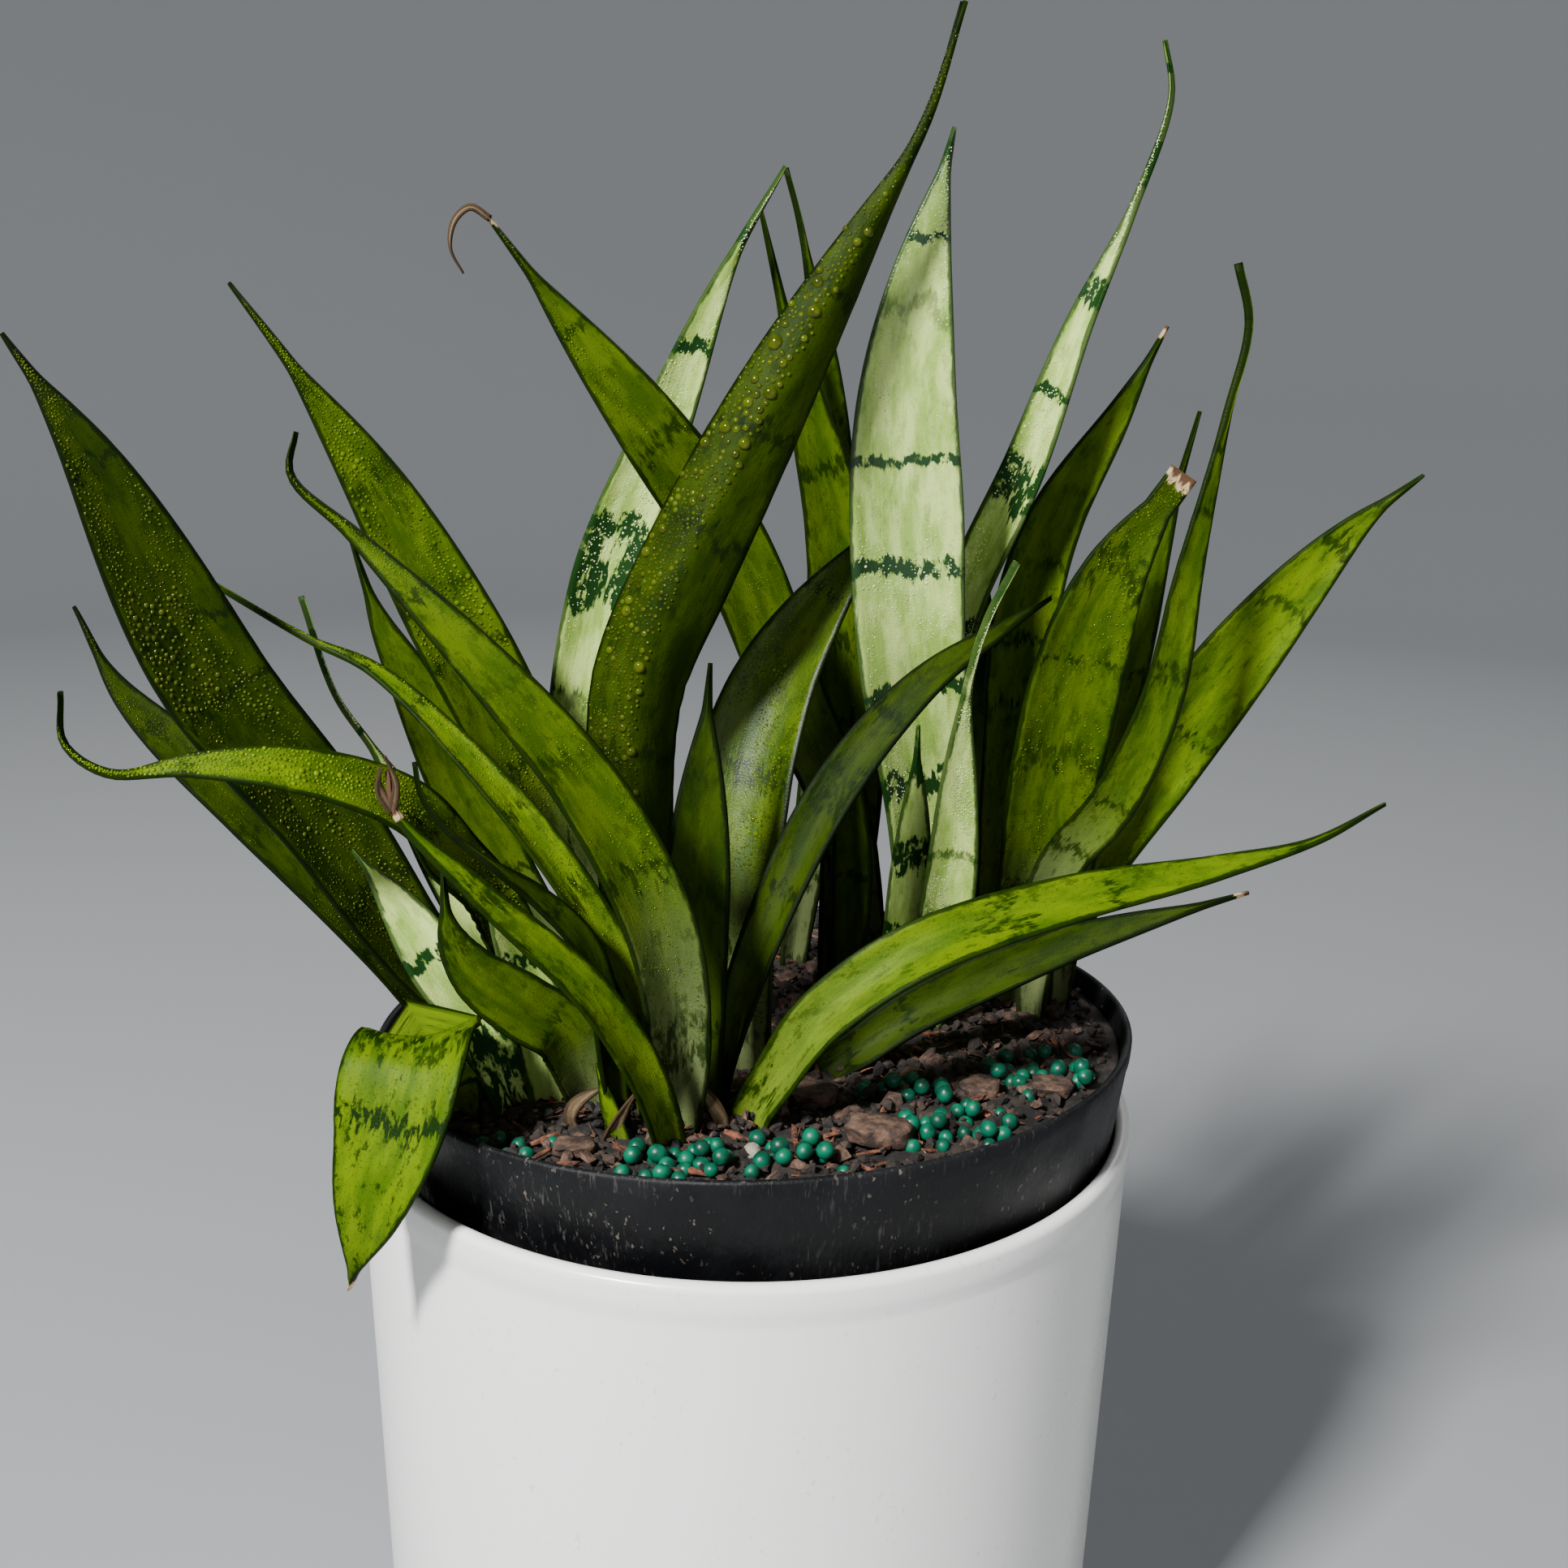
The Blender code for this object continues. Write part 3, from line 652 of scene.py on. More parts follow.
    def crumbly(self, name: str, dark: Triple, light: Triple, scale: float) -> bpy.types.Material:
        """Matt, broken matter such as mix, bark and fibre.

        Args:
            name: The material's name.
            dark: Colour in the hollows.
            light: Colour of the dry faces.
            scale: How fine the mottling is.

        Returns:
            The material.
        """
        made, n, shader = principled(name)
        place = n.add("ShaderNodeTexCoord").outputs["Object"]
        mottle = n.noise(place, scale, 5.0, 0.65)
        n.link(n.blend(n.ramp(mottle, 0.38, 0.68), dark, light), shader.inputs["Base Color"])
        n.link(n.plus(n.times(mottle, 0.2), 0.75), shader.inputs["Roughness"])
        n.bump(n.noise(place, scale * 2.5, 4.0, 0.6), shader, 0.7, 0.0006)
        return made

    def granule(self) -> bpy.types.Material:
        """Smooth blue-green coating, a little uneven and dusty."""
        made, n, shader = principled("granule_coating")
        place = n.add("ShaderNodeTexCoord").outputs["Object"]
        tone = n.ramp(n.noise(place, 260.0, 2.0), 0.35, 0.65)
        n.link(n.blend(tone, (0.0, 0.045, 0.024), (0.0, 0.125, 0.064)), shader.inputs["Base Color"])
        n.link(n.plus(n.times(n.noise(place, 700.0, 2.0), 0.5), 0.14), shader.inputs["Roughness"])
        shader.inputs["Specular IOR Level"].default_value = 0.4
        return made


# --------------------------------------------------------------------------------------------------
# Leaves


NEVER_DRY = 2.0
UPRIGHT = ((0, 10), (0, 10), (0, 10))


@dataclass(frozen=True)
class Leaf:
    """One leaf: where it leaves the mix, the midrib above it, how the blade is turned, and its look.

    face holds an azimuth and an elevation for the foot, the middle and the tip. waist is the foot's width
    as a share of the whole, peak is how far up the blade is widest, and spike is how much of the length its
    hard tip takes. bow is 1 for a channel that opens forwards and -1 for a ridge.
    """

    name: str
    base: Pair
    rib: tuple[Triple, ...]
    width: float
    tone: Tone
    wet: Wet = Wet.DRY
    face: tuple[Pair, ...] = UPRIGHT
    waist: float = 0.5
    peak: float = 0.55
    spike: float = 0.08
    fold: float = 1.0
    dry_from: float = NEVER_DRY
    wet_sides: Pair = (-0.9, 0.9)
    gloss: float = 0.0
    marked: float = 1.0
    bow: int = 1
    rooted: bool = True


LEAVES = (
    Leaf("leaf_far_left", (-50, -4),
         ((-67, -12, 183), (-83, -20, 214), (-99, -30, 242), (-115, -44, 287), (-126, -48, 307)),
         21, Tone.DARK, Wet.SPRAYED, ((20, 20), (15, 25), (10, 25)), peak=0.6, spike=0.04),
    Leaf("leaf_upper_left", (-26, 8),
         ((-40, 5, 208), (-50, 2, 228), (-58, 0, 245), (-75, -2, 278), (-90, -5, 302), (-100, -6, 316)),
         19, Tone.GREEN, Wet.SPRAYED, ((20, 15), (10, 20), (10, 15)), spike=0.1),
    Leaf("leaf_low_left", (-66, 0),
         ((-74, -2, 175), (-84, -3, 189), (-103, -2, 210), (-129, 0, 235), (-138, 2, 252)),
         13, Tone.DARK, Wet.BEADED, ((45, 10), (30, 20), (20, 20))),
    Leaf("leaf_low_left_rear", (-60, 8),
         ((-86, 9, 197), (-103, 12, 215), (-122, 15, 230), (-130, 16, 240)),
         10, Tone.DARK, Wet.DRY, ((30, 10), (20, 20), (20, 20))),
    Leaf("leaf_level_left", (-38, -22),
         ((-48, -26, 196), (-56, -38, 213), (-62, -48, 225), (-76, -58, 234), (-94, -62, 236),
          (-108, -64, 235), (-115, -64, 240), (-115, -64, 249)),
         13, Tone.LIME, Wet.SPRAYED, ((20, 30), (0, 45), (0, 30)), peak=0.5, spike=0.14),
    Leaf("leaf_front_left", (-13, -46),
         ((-12, -52, 184), (-15, -58, 207), (-25, -60, 229), (-40, -60, 249), (-66, -56, 275),
          (-77, -54, 285), (-76, -53, 292)),
         14, Tone.GREEN, Wet.BEADED, ((10, 10), (20, 20), (0, 20)), waist=0.65, peak=0.35, spike=0.1),
    Leaf("leaf_slender_left", (-19, -38),
         ((-22, -39, 185), (-35, -37, 209), (-53, -31, 230), (-72, -22, 245), (-85, -18, 250),
          (-104, -12, 259)),
         9, Tone.LIME, Wet.BEADED, ((50, 20), (40, 35), (30, 40)), peak=0.35, spike=0.14, fold=1.4),
    Leaf("leaf_spike_left", (-42, -12),
         ((-61, -8, 197), (-76, -5, 224), (-84, -4, 236), (-90, -4, 256)),
         9, Tone.SILVER, Wet.BEADED, ((10, 10), (30, 10), (60, 10)), spike=0.3),
    Leaf("leaf_dry_tip", (-14, -55),
         ((-18, -62, 181), (-27, -68, 199), (-44, -73, 218), (-57, -74, 232), (-58, -74, 239)),
         8.5, Tone.LIME, Wet.DRY, ((40, 10), (30, 30), (20, 30)), waist=0.8, peak=0.3, spike=0.05,
         dry_from=0.9),
    Leaf("leaf_shaded_left", (-29, -38),
         ((-34, -44, 180), (-41, -48, 187), (-49, -51, 195), (-53, -52, 203), (-54, -52, 215)),
         13, Tone.GREEN, Wet.DRY, ((10, 20), (10, 30), (10, 20)), spike=0.1),
    Leaf("leaf_pale_left", (-45, -37),
         ((-52, -39, 182), (-59, -39, 193), (-67, -36, 204), (-75, -32, 212)),
         12, Tone.SILVER, Wet.DRY, ((30, 10), (20, 15), (20, 20)), spike=0.05),
    Leaf("leaf_pale_short", (-38, -32),
         ((-42, -35, 189), (-46, -38, 200), (-50, -41, 209)),
         11, Tone.SILVER, Wet.DRY, ((0, 10), (10, 20), (10, 20))),
    Leaf("leaf_drooping", (-56, -36),
         ((-57, -43, 174), (-59, -53, 182), (-60, -60, 180), (-62, -65, 170), (-65, -68, 160),
          (-68, -67, 150), (-71, -65, 138)),
         24, Tone.LIME, Wet.DRY, ((-15, 5), (-15, 60), (-15, 0)), waist=0.33, peak=0.5, spike=0.04, fold=0.5,
         dry_from=0.975, marked=1.7),
    Leaf("leaf_twisted", (-24, -48),
         ((-29, -48, 198), (-37, -50, 209), (-45, -52, 216), (-53, -53, 223), (-57, -53, 229),
          (-58, -53, 235)),
         8, Tone.DARK, Wet.DRY, ((50, 20), (50, 30), (30, 20)), peak=0.4, spike=0.22),
    Leaf("leaf_left_rear", (-36, 16),
         ((-56, 10, 201), (-70, 7, 235), (-77, 6, 250), (-82, 6, 266)),
         14, Tone.GREEN, Wet.DRY, ((10, 10), (10, 10), (10, 10))),
    # painted shade: this leaf gets the dark colouring for the shade it stands in; the real leaf is a paler
    # grey-green
    Leaf("leaf_centre_shaded", (-8, -40), ((-9, -39, 200), (-8, -36, 230), (-7, -34, 250)), 13, Tone.DARK),
    Leaf("leaf_centre_rear", (-17, -18), ((-19, -19, 205), (-17, -17, 237), (-14, -15, 252)), 9, Tone.DARK),
    Leaf("leaf_tall_dark", (-16, -26),
         ((-21, -26, 207), (-21, -27, 243), (-12, -28, 267), (5, -26, 300), (20, -22, 327), (30, -20, 346),
          (36, -18, 366)),
         20, Tone.DARK, Wet.SOAKED, ((20, 5), (0, 15), (40, 10)), peak=0.5, spike=0.12, fold=1.3,
         wet_sides=(-0.94, 0.04), bow=-1),
    Leaf("leaf_tall_pale", (41, 24),
         ((38, 11, 210), (32, -1, 247), (30, -5, 272), (29, -7, 297), (31, -8, 320), (36, -9, 346)),
         23.5, Tone.SILVER, Wet.BEADED, ((0, 0), (0, 0), (0, 0)), peak=0.6, spike=0.03, gloss=0.16),
    Leaf("leaf_curled_tip", (28, 27),
         ((20, 20, 207), (9, 16, 232), (-4, 10, 264), (-21, 1, 290), (-38, -2, 312), (-51, -4, 329)),
         16.5, Tone.GREEN, Wet.BEADED, ((-10, 10), (0, 15), (0, 15)), peak=0.65, spike=0.06, dry_from=0.985),
    Leaf("leaf_pale_rear", (-28, 24),
         ((-38, 19, 212), (-32, 16, 255), (-20, 15, 287), (-6, 13, 321), (5, 12, 340)),
         14.5, Tone.SILVER, Wet.BEADED, ((0, 0), (0, 0), (20, 0))),
    Leaf("leaf_rear_green", (20, 38),
         ((22, 29, 215), (17, 25, 267), (12, 23, 287), (7, 22, 305), (3, 21, 321), (0, 20, 333)),
         16, Tone.GREEN, Wet.DRY, ((0, 0), (0, 0), (20, 0)), peak=0.5, spike=0.1),
    Leaf("leaf_rear_shaded", (10, 48),
         ((17, 40, 230), (16, 36, 276), (13, 34, 305), (8, 32, 331), (5, 31, 341)),
         12, Tone.GREEN, Wet.DRY, ((0, 0), (0, 0), (40, 0))),
    Leaf("leaf_glossy", (0, -21),
         ((-2, -18, 197), (-1, -13, 214), (1, -9, 226), (5, -5, 239), (12, -1, 252), (29, 4, 276)),
         22, Tone.GREEN, Wet.SPRAYED, ((-10, 20), (-20, 30), (-20, 20)), peak=0.5, spike=0.04, gloss=0.08),
    Leaf("leaf_arching", (-4, -34),
         ((-3, -37, 173), (6, -32, 202), (18, -24, 225), (34, -16, 243), (50, -8, 253), (60, 0, 258)),
         10, Tone.DARK, Wet.DRY, ((-30, 30), (-10, 35), (-10, 40)), peak=0.5, spike=0.02),
    Leaf("leaf_speckled", (38, 7),
         ((40, 4, 172), (42, -4, 200), (42, -16, 239), (45, -20, 256), (50, -22, 268)),
         12, Tone.SILVER, Wet.BEADED, ((-20, 0), (0, 0), (50, 0)), waist=0.7, peak=0.35, spike=0.22),
    Leaf("leaf_pale_centre", (31, 12), ((33, 4, 186), (34, 0, 204), (34, -5, 232)), 9, Tone.SILVER),
    Leaf("leaf_dark_centre", (21, 12), ((22, 9, 192), (21, 6, 214), (21, 4, 234)), 9, Tone.DARK),
    Leaf("leaf_tall_folded", (49, 27),
         ((44, 17, 230), (44, 14, 251), (56, 11, 284), (64, 10, 310), (73, 10, 333), (79, 10, 354),
          (77, 10, 364)),
         11, Tone.SILVER, Wet.BEADED, ((-30, 0), (-30, 10), (-30, 10)), spike=0.14, fold=1.5),
    Leaf("leaf_right_green", (56, 34),
         ((57, 26, 215), (58, 22, 252), (63, 22, 271), (75, 22, 293), (84, 22, 311)),
         15, Tone.LIME, Wet.DRY, ((-10, 0), (0, 5), (0, 5)), spike=0.04, dry_from=0.975),
    Leaf("leaf_broad_right", (60, 18),
         ((60, 11, 182), (61, 5, 201), (62, -1, 220), (65, -6, 244), (70, -8, 263), (83, -8, 284)),
         20, Tone.GREEN, Wet.BEADED, ((-10, 0), (0, 0), (10, 10)), peak=0.6, spike=0.0, dry_from=0.97),
    Leaf("leaf_right_hidden", (69, 17),
         ((72, 12, 210), (78, 7, 243), (82, 5, 267), (88, 4, 295)), 9, Tone.GREEN, Wet.DRY,
         ((0, 0), (0, 0), (0, 0))),
    Leaf("leaf_wavy_right", (63, 9),
         ((64, 0, 198), (74, -10, 219), (81, -13, 241), (84, -13, 264), (90, -10, 295), (93, -9, 312),
          (90, -9, 323)),
         10, Tone.GREEN, Wet.DRY, ((-30, 20), (0, 20), (60, 10)), waist=0.6, peak=0.35, spike=0.14),
    Leaf("leaf_right_low", (65, 26),
         ((74, 19, 195), (87, 13, 221), (102, 10, 246), (122, 8, 272), (135, 8, 283)),
         18, Tone.LIME, Wet.DRY, ((-10, 10), (0, 10), (0, 10)), spike=0.05),
    Leaf("leaf_long_right", (3, -44),
         ((8, -46, 173), (15, -48, 185), (32, -47, 198), (61, -40, 207), (90, -33, 212), (109, -30, 217),
          (122, -28, 224)),
         12.5, Tone.LIME, Wet.DRY, ((-30, 30), (-10, 45), (0, 40)), waist=0.7, peak=0.35, spike=0.1),
    Leaf("leaf_low_right", (17, -21),
         ((24, -18, 167), (35, -15, 174), (66, -9, 187), (94, -8, 196), (103, -8, 199)),
         10, Tone.DARK, Wet.DRY, ((-10, 30), (0, 35), (0, 30)), waist=0.7, peak=0.4, dry_from=0.965),
    Leaf("leaf_right_rear", (50, 44), ((52, 38, 203), (52, 35, 232), (50, 34, 262)), 15, Tone.DARK),
)
def scrap(name: str, rib: tuple[Triple, ...], width: float, face: tuple[Pair, ...] = UPRIGHT,
          tone: Tone = Tone.DRIED, **shape: float) -> Leaf:
    """A loose strip between the leaves; its shape fields are those of Leaf."""
    return Leaf(name, (0, 0), rib, width, tone, face=face, rooted=False, **shape)


EXTRAS = (
    scrap("dry_sheath_left", ((-31, -45, 160), (-32, -47, 165), (-30, -49, 169), (-26, -50, 172)),
          3.2, ((-10, 10), (-20, 20), (-30, 30)), waist=0.7, peak=0.4, spike=0.0),
    scrap("dry_sheath_right", ((-26, -50, 159), (-24, -52, 164), (-21, -53, 170), (-19, -53, 173)),
          3.2, ((20, 10), (30, 10), (40, 10)), waist=0.7, peak=0.3, spike=0.05),
    scrap("dry_sheath_centre", ((-3, -46, 161), (-4, -48, 166), (-7, -49, 171), (-11, -49, 174)),
          3.0, ((0, 10), (10, 20), (20, 20)), waist=0.7, peak=0.4, spike=0.05),
    scrap("young_shoot", ((-21, -52, 160), (-24, -52, 168), (-27, -50, 177)),
          3.6, ((0, 0), (0, 0), (0, 0)), Tone.LIME, waist=0.8, peak=0.4, spike=0.1, fold=0.6),
    scrap("curled_hair",
          ((-50.5, -4, 328.5), (-54, -5, 330.5), (-57, -5.5, 328), (-57.8, -6, 323), (-55.5, -6, 318.5)),
          1.3, waist=0.9, peak=0.3, spike=0.2),
    scrap("shredded_end_left", ((-57.5, -74, 232), (-59.5, -74.5, 236), (-59, -75, 240)),
          1.8, ((20, 10), (40, 20), (60, 20)), waist=0.8, peak=0.3, spike=0.1),
    scrap("shredded_end_right", ((-57.5, -74, 232), (-56.5, -75, 237), (-58, -76, 242)),
          1.5, ((0, 10), (-20, 20), (-30, 20)), waist=0.8, peak=0.3, spike=0.1),
)


SPAN_STEPS = 24
TIP_CROWDING = 0.15
TIP_POWER = 1.8
BLUNT_END = 0.3
CHANNEL_POWER = 2.0
RIDGE_POWER = 1.35
MARGIN_WAVE = 0.10
FOLD_SQUEEZE = 0.18
TIP_THINNING = 0.35
TRIES_PER_DROP = 4
FINEST_DROP = 0.13
LARGE_DROP = 0.5
DROP_HEIGHT = 0.62
DROP_SUNK = 0.10


def facing(angles: Pair) -> Vector:
    """Unit vector from an azimuth (0 is the front, 90 the right) and an elevation, in degrees."""
    azimuth, elevation = (math.radians(a) for a in angles)
    level = math.cos(elevation)
    return Vector((math.sin(azimuth) * level, -math.cos(azimuth) * level, math.sin(elevation)))


@dataclass
class Blade:
    """Builds one leaf from its plan: thick along the middle, with thin, slightly wavy margins."""

    plan: Leaf
    rows: int = 84
    columns: int = 14
    middle_thickness: float = 2.3
    margin_thickness: float = 0.7
    path: list[Vector] = field(default_factory=list)
    length: float = 0.0

    def __post_init__(self) -> None:
        """Works out the midrib's even points and the blade's length."""
        plan = self.plan
        points = [Vector(point) for point in plan.rib]
        if plan.rooted:
            start = Vector((*plan.base, soil_height(*plan.base)))
            down = (start - points[0]).normalized()
            buried = start + Vector((down.x * 0.3, down.y * 0.3, -1)).normalized() * ROOT_DEPTH
            points = [buried, start, *points]
        ends = [2 * points[0] - points[1], *points, 2 * points[-1] - points[-2]]
        dense: list[Vector] = []
        for i in range(1, len(ends) - 2):
            dense += self.span(*ends[i - 1 : i + 3])
        dense.append(points[-1])
        reach = [0.0]
        for a, b in zip(dense, dense[1:]):
            reach.append(reach[-1] + (b - a).length)
        self.length = reach[-1]
        k = 0
        for i in range(self.rows + 1):
            share = i / self.rows
            goal = self.length * share * (1 + TIP_CROWDING * (1 - share))
            while k < len(reach) - 2 and reach[k + 1] < goal:
                k += 1
            self.path.append(dense[k].lerp(dense[k + 1], (goal - reach[k]) / (reach[k + 1] - reach[k])))

    @staticmethod
    def span(p0: Vector, p1: Vector, p2: Vector, p3: Vector) -> list[Vector]:
        """Points of a centripetal Catmull-Rom curve from p1 up to p2."""
        t1 = math.sqrt((p1 - p0).length)
        t2 = t1 + math.sqrt((p2 - p1).length)
        t3 = t2 + math.sqrt((p3 - p2).length)
        found = []
        for step in range(SPAN_STEPS):
            t = t1 + (t2 - t1) * step / SPAN_STEPS
            a1 = p0.lerp(p1, t / t1)
            a2 = p1.lerp(p2, (t - t1) / (t2 - t1))
            a3 = p2.lerp(p3, (t - t2) / (t3 - t2))
            b1 = a1.lerp(a2, t / t2)
            b2 = a2.lerp(a3, (t - t1) / (t3 - t1))
            found.append(b1.lerp(b2, (t - t1) / (t2 - t1)))
        return found

    def width(self, share: float) -> float:
        """Width of the blade at a share of its length."""
        plan = self.plan
        along = share / (1 - plan.spike)
        if along < plan.peak:
            factor = plan.waist + (1 - plan.waist) * math.sin(math.pi / 2 * along / plan.peak)
        elif along < 1:
            factor = 1 - ((along - plan.peak) / (1 - plan.peak)) ** TIP_POWER
        else:
            factor = 0.0
        blunt = BLUNT_END if plan.spike == 0 else 0.0
        blade = plan.width * max(factor, blunt)
        stalk = min(0.5, plan.width * 0.2) + plan.width * 0.12 * min((1 - share) / (plan.spike + 0.05), 1)
        return (blade**4 + stalk**4) ** 0.25

    def fullness(self, row: float, side: float) -> float:
        """How thick the blade is at a point, from 0 at the margins to 1 in the middle of its foot."""
        return (1 - side * side) * (1 - TIP_THINNING * row / self.rows)

    def axes(self, row: int) -> tuple[Vector, Vector, Vector]:
        """Directions along, across and out of the blade at a row."""
        share = row / self.rows
        faces = [facing(angles) for angles in self.plan.face]
        along = (self.path[min(row + 1, self.rows)] - self.path[max(row - 1, 0)]).normalized()
        half = min(int(share * 2), 1)
        front = faces[half].lerp(faces[half + 1], share * 2 - half)
        front = (front - along * front.dot(along)).normalized()
        return along, along.cross(front), front

    def surface(self, row: float, side: float) -> tuple[Vector, Vector]:
        """A point of the blade's middle surface and the normal there.

        Args:
            row: Row number, from the base.
            side: From -1 at the left margin to 1 at the right one.

        Returns:
            The point and the unit normal, on the face that looks forwards.
        """
        whole = min(int(row), self.rows - 1)
        share = row / self.rows
        _, across, front = self.axes(whole)
        centre = self.path[whole].lerp(self.path[whole + 1], row - whole)
        half_width = self.width(share) / 2
        slope = (0.30 + 0.55 * (1 - share) ** 3) * self.plan.fold
        wave = noise.noise(Vector((share * 7.0, side * 0.7, len(self.plan.name) + self.plan.width)))
        power = CHANNEL_POWER if self.plan.bow > 0 else RIDGE_POWER
        rise = half_width * (self.plan.bow * slope * abs(side) ** power + MARGIN_WAVE * wave * abs(side))
        squeeze = 1 - FOLD_SQUEEZE * slope
        point = centre + across * (half_width * side * squeeze) + front * rise
        tilt = self.plan.bow * power * slope * math.copysign(abs(side) ** (power - 1), side)
        normal = (front - across * tilt).normalized()
        return point, normal

    def mesh(self) -> bmesh.types.BMesh:
        """The closed blade, with UVs for its share and its size in decimetres."""
        bm = bmesh.new()
        bmesh.ops.create_grid(bm, x_segments=self.columns, y_segments=self.rows, size=1.0)
        share_uv = bm.loops.layers.uv.new("share")
        size_uv = bm.loops.layers.uv.new("size")
        for face in bm.faces:
            for loop in face.loops:
                x, y = loop.vert.co.x, (loop.vert.co.y + 1) / 2
                loop[share_uv].uv = (x / 2 + 0.5, y)
                loop[size_uv].uv = (x * self.width(y) / 200, y * self.length / 100)
        body = bm.verts.layers.deform.verify()
        for vert in bm.verts:
            side = vert.co.x
            row = (vert.co.y + 1) / 2 * self.rows
            vert[body][0] = self.fullness(row, side)
            vert.co = self.surface(row, side)[0]
        return bm

    def build(self, finishes: Finishes, seed: int) -> bpy.types.Object:
        """Makes the leaf; a rooted one stands in for its frame node."""
        plan = self.plan
        finish = finishes.leaf(plan, seed * 3.7)
        stands_for = (plan.name,) if plan.rooted else ()
        blade = as_piece(plan.name + "_blade", self.mesh(), finish, stands_for)
        blade.vertex_groups.new(name="body")
        solid = blade.modifiers.new("thickness", "SOLIDIFY")
        solid.thickness = self.middle_thickness * MM
        solid.offset = 0.0
        solid.vertex_group = "body"
        solid.thickness_vertex_group = self.margin_thickness / self.middle_thickness
        return blade

    def drops(self, finishes: Finishes, seed: int) -> bpy.types.Object | None:
        """Standing drops over the blade's front: many fine ones and a few large ones, never overlapping.

        Args:
            finishes: Gives the water its material.
            seed: Where the drops fall.

        Returns:
            All the drops as one piece, or nothing for a dry leaf.
        """
        count, largest, least = self.plan.wet.value
        if not count:
            return None
        draws = random.Random(seed)
        bm = bmesh.new()
        fine, large = pebble(1, 0.0, 0), pebble(2, 0.0, 0)
        cell = 2 * largest
        taken: dict[tuple[int, int, int], list[tuple[Vector, float]]] = {}
        made = 0
        for _ in range(count * TRIES_PER_DROP):
            row = self.rows * (0.14 + 0.84 * draws.random())
            side = draws.uniform(*self.plan.wet_sides)
            room = self.width(row / self.rows) / 2
            patch = 0.62 + 0.9 * noise.noise(Vector((row * 0.10, side * room * 0.16, seed * 2.3)))
            share = least + (1 - least) * draws.random() ** 3.5
            radius = min(largest * patch * share, room * 0.3)
            if radius < FINEST_DROP or made >= count:
                continue
            point, normal = self.surface(row, side)
            home = tuple(math.floor(part / cell) for part in point)
            near = [other for x in (-1, 0, 1) for y in (-1, 0, 1) for z in (-1, 0, 1)
                    for other in taken.get((home[0] + x, home[1] + y, home[2] + z), ())]
            if any((point - other).length < radius + reach for other, reach in near):
                continue
            taken.setdefault(home, []).append((point, radius))
            made += 1
            thicker = (self.middle_thickness - self.margin_thickness) * self.fullness(row, side)
            lift = (self.margin_thickness + thicker) / 2
            turn = normal.to_track_quat("Z", "Y").to_matrix().to_4x4()
            place = Matrix.Translation(point + normal * (lift - radius * DROP_SUNK)) @ turn
            shape = Matrix.Diagonal((radius, radius, radius * DROP_HEIGHT, 1))
            (large if radius > LARGE_DROP else fine).press(bm, place @ shape)
        fine.clear()
        large.clear()
        return as_piece(self.plan.name + "_drops", bm, finishes.water(self.plan.tone))


@dataclass
class Foliage:
    """All the leaves, with their drops and dried ends, and the dry scraps between them."""

    leaves: tuple[Leaf, ...] = LEAVES
    extras: tuple[Leaf, ...] = EXTRAS
    first_scrap_seed: int = 60

    def build(self, finishes: Finishes) -> None:
        """Builds every leaf in order, then the scraps."""
        for i, plan in enumerate(self.leaves):
            blade = Blade(plan)
            piece = blade.build(finishes, i + 1)
            drops = blade.drops(finishes, i + 1)
            log.info("%s%s", piece.name, " with drops" if drops else "")
        for i, plan in enumerate(self.extras):
            strip = Blade(plan, rows=28, columns=6, middle_thickness=0.8, margin_thickness=0.4)
            strip.build(finishes, self.first_scrap_seed + i)


# --------------------------------------------------------------------------------------------------
# Pots


@dataclass
class OuterPlanter:
    """White round planter with a thick rounded rim."""

    height: float = 150.0
    rim_radius: float = 82.4
    taper: float = 0.028
    wall: float = 2.8
    floor: float = 3.8
    roll: float = 3.4
    steps: int = 160

    def radius(self, z: float) -> float:
        """Outer radius of the wall at a height."""
        return self.rim_radius - 0.4 - self.taper * (self.height - z)

    def profile(self) -> list[Pair]:
        """Cross-section from the floor's middle, up the inside and down the outside."""
        half = self.roll / 2
        inside = self.radius(self.floor) - self.wall
        points = [(0.0, self.floor), (inside - 3, self.floor)]
        points += arc((inside - 3, self.floor + 3), 3, -90, 0, 6)[1:]
        points += [(self.radius(self.height - 9) - self.wall, self.height - 9)]
        points += [(self.rim_radius - self.roll, self.height - 4)]
        points += arc((self.rim_radius - half, self.height - half), half, 180, 0, 14)
        points += [(self.rim_radius, self.height - 4.5), (self.rim_radius - 0.15, self.height - 6)]
        points += [(self.radius(z), z) for z in (self.height - 8, self.height - 9, 75.0, 2.0)]
        points += arc((self.radius(0) - 2, 2), 2, 0, -90, 6)[1:]
        return points + [(0.0, 0.0)]

    def build(self, finishes: Finishes) -> bpy.types.Object:
        """Makes the planter."""
        shell = lathe(self.profile(), self.steps)
        return as_piece("planter_shell", shell, finishes.planter(), ("outer_planter",))


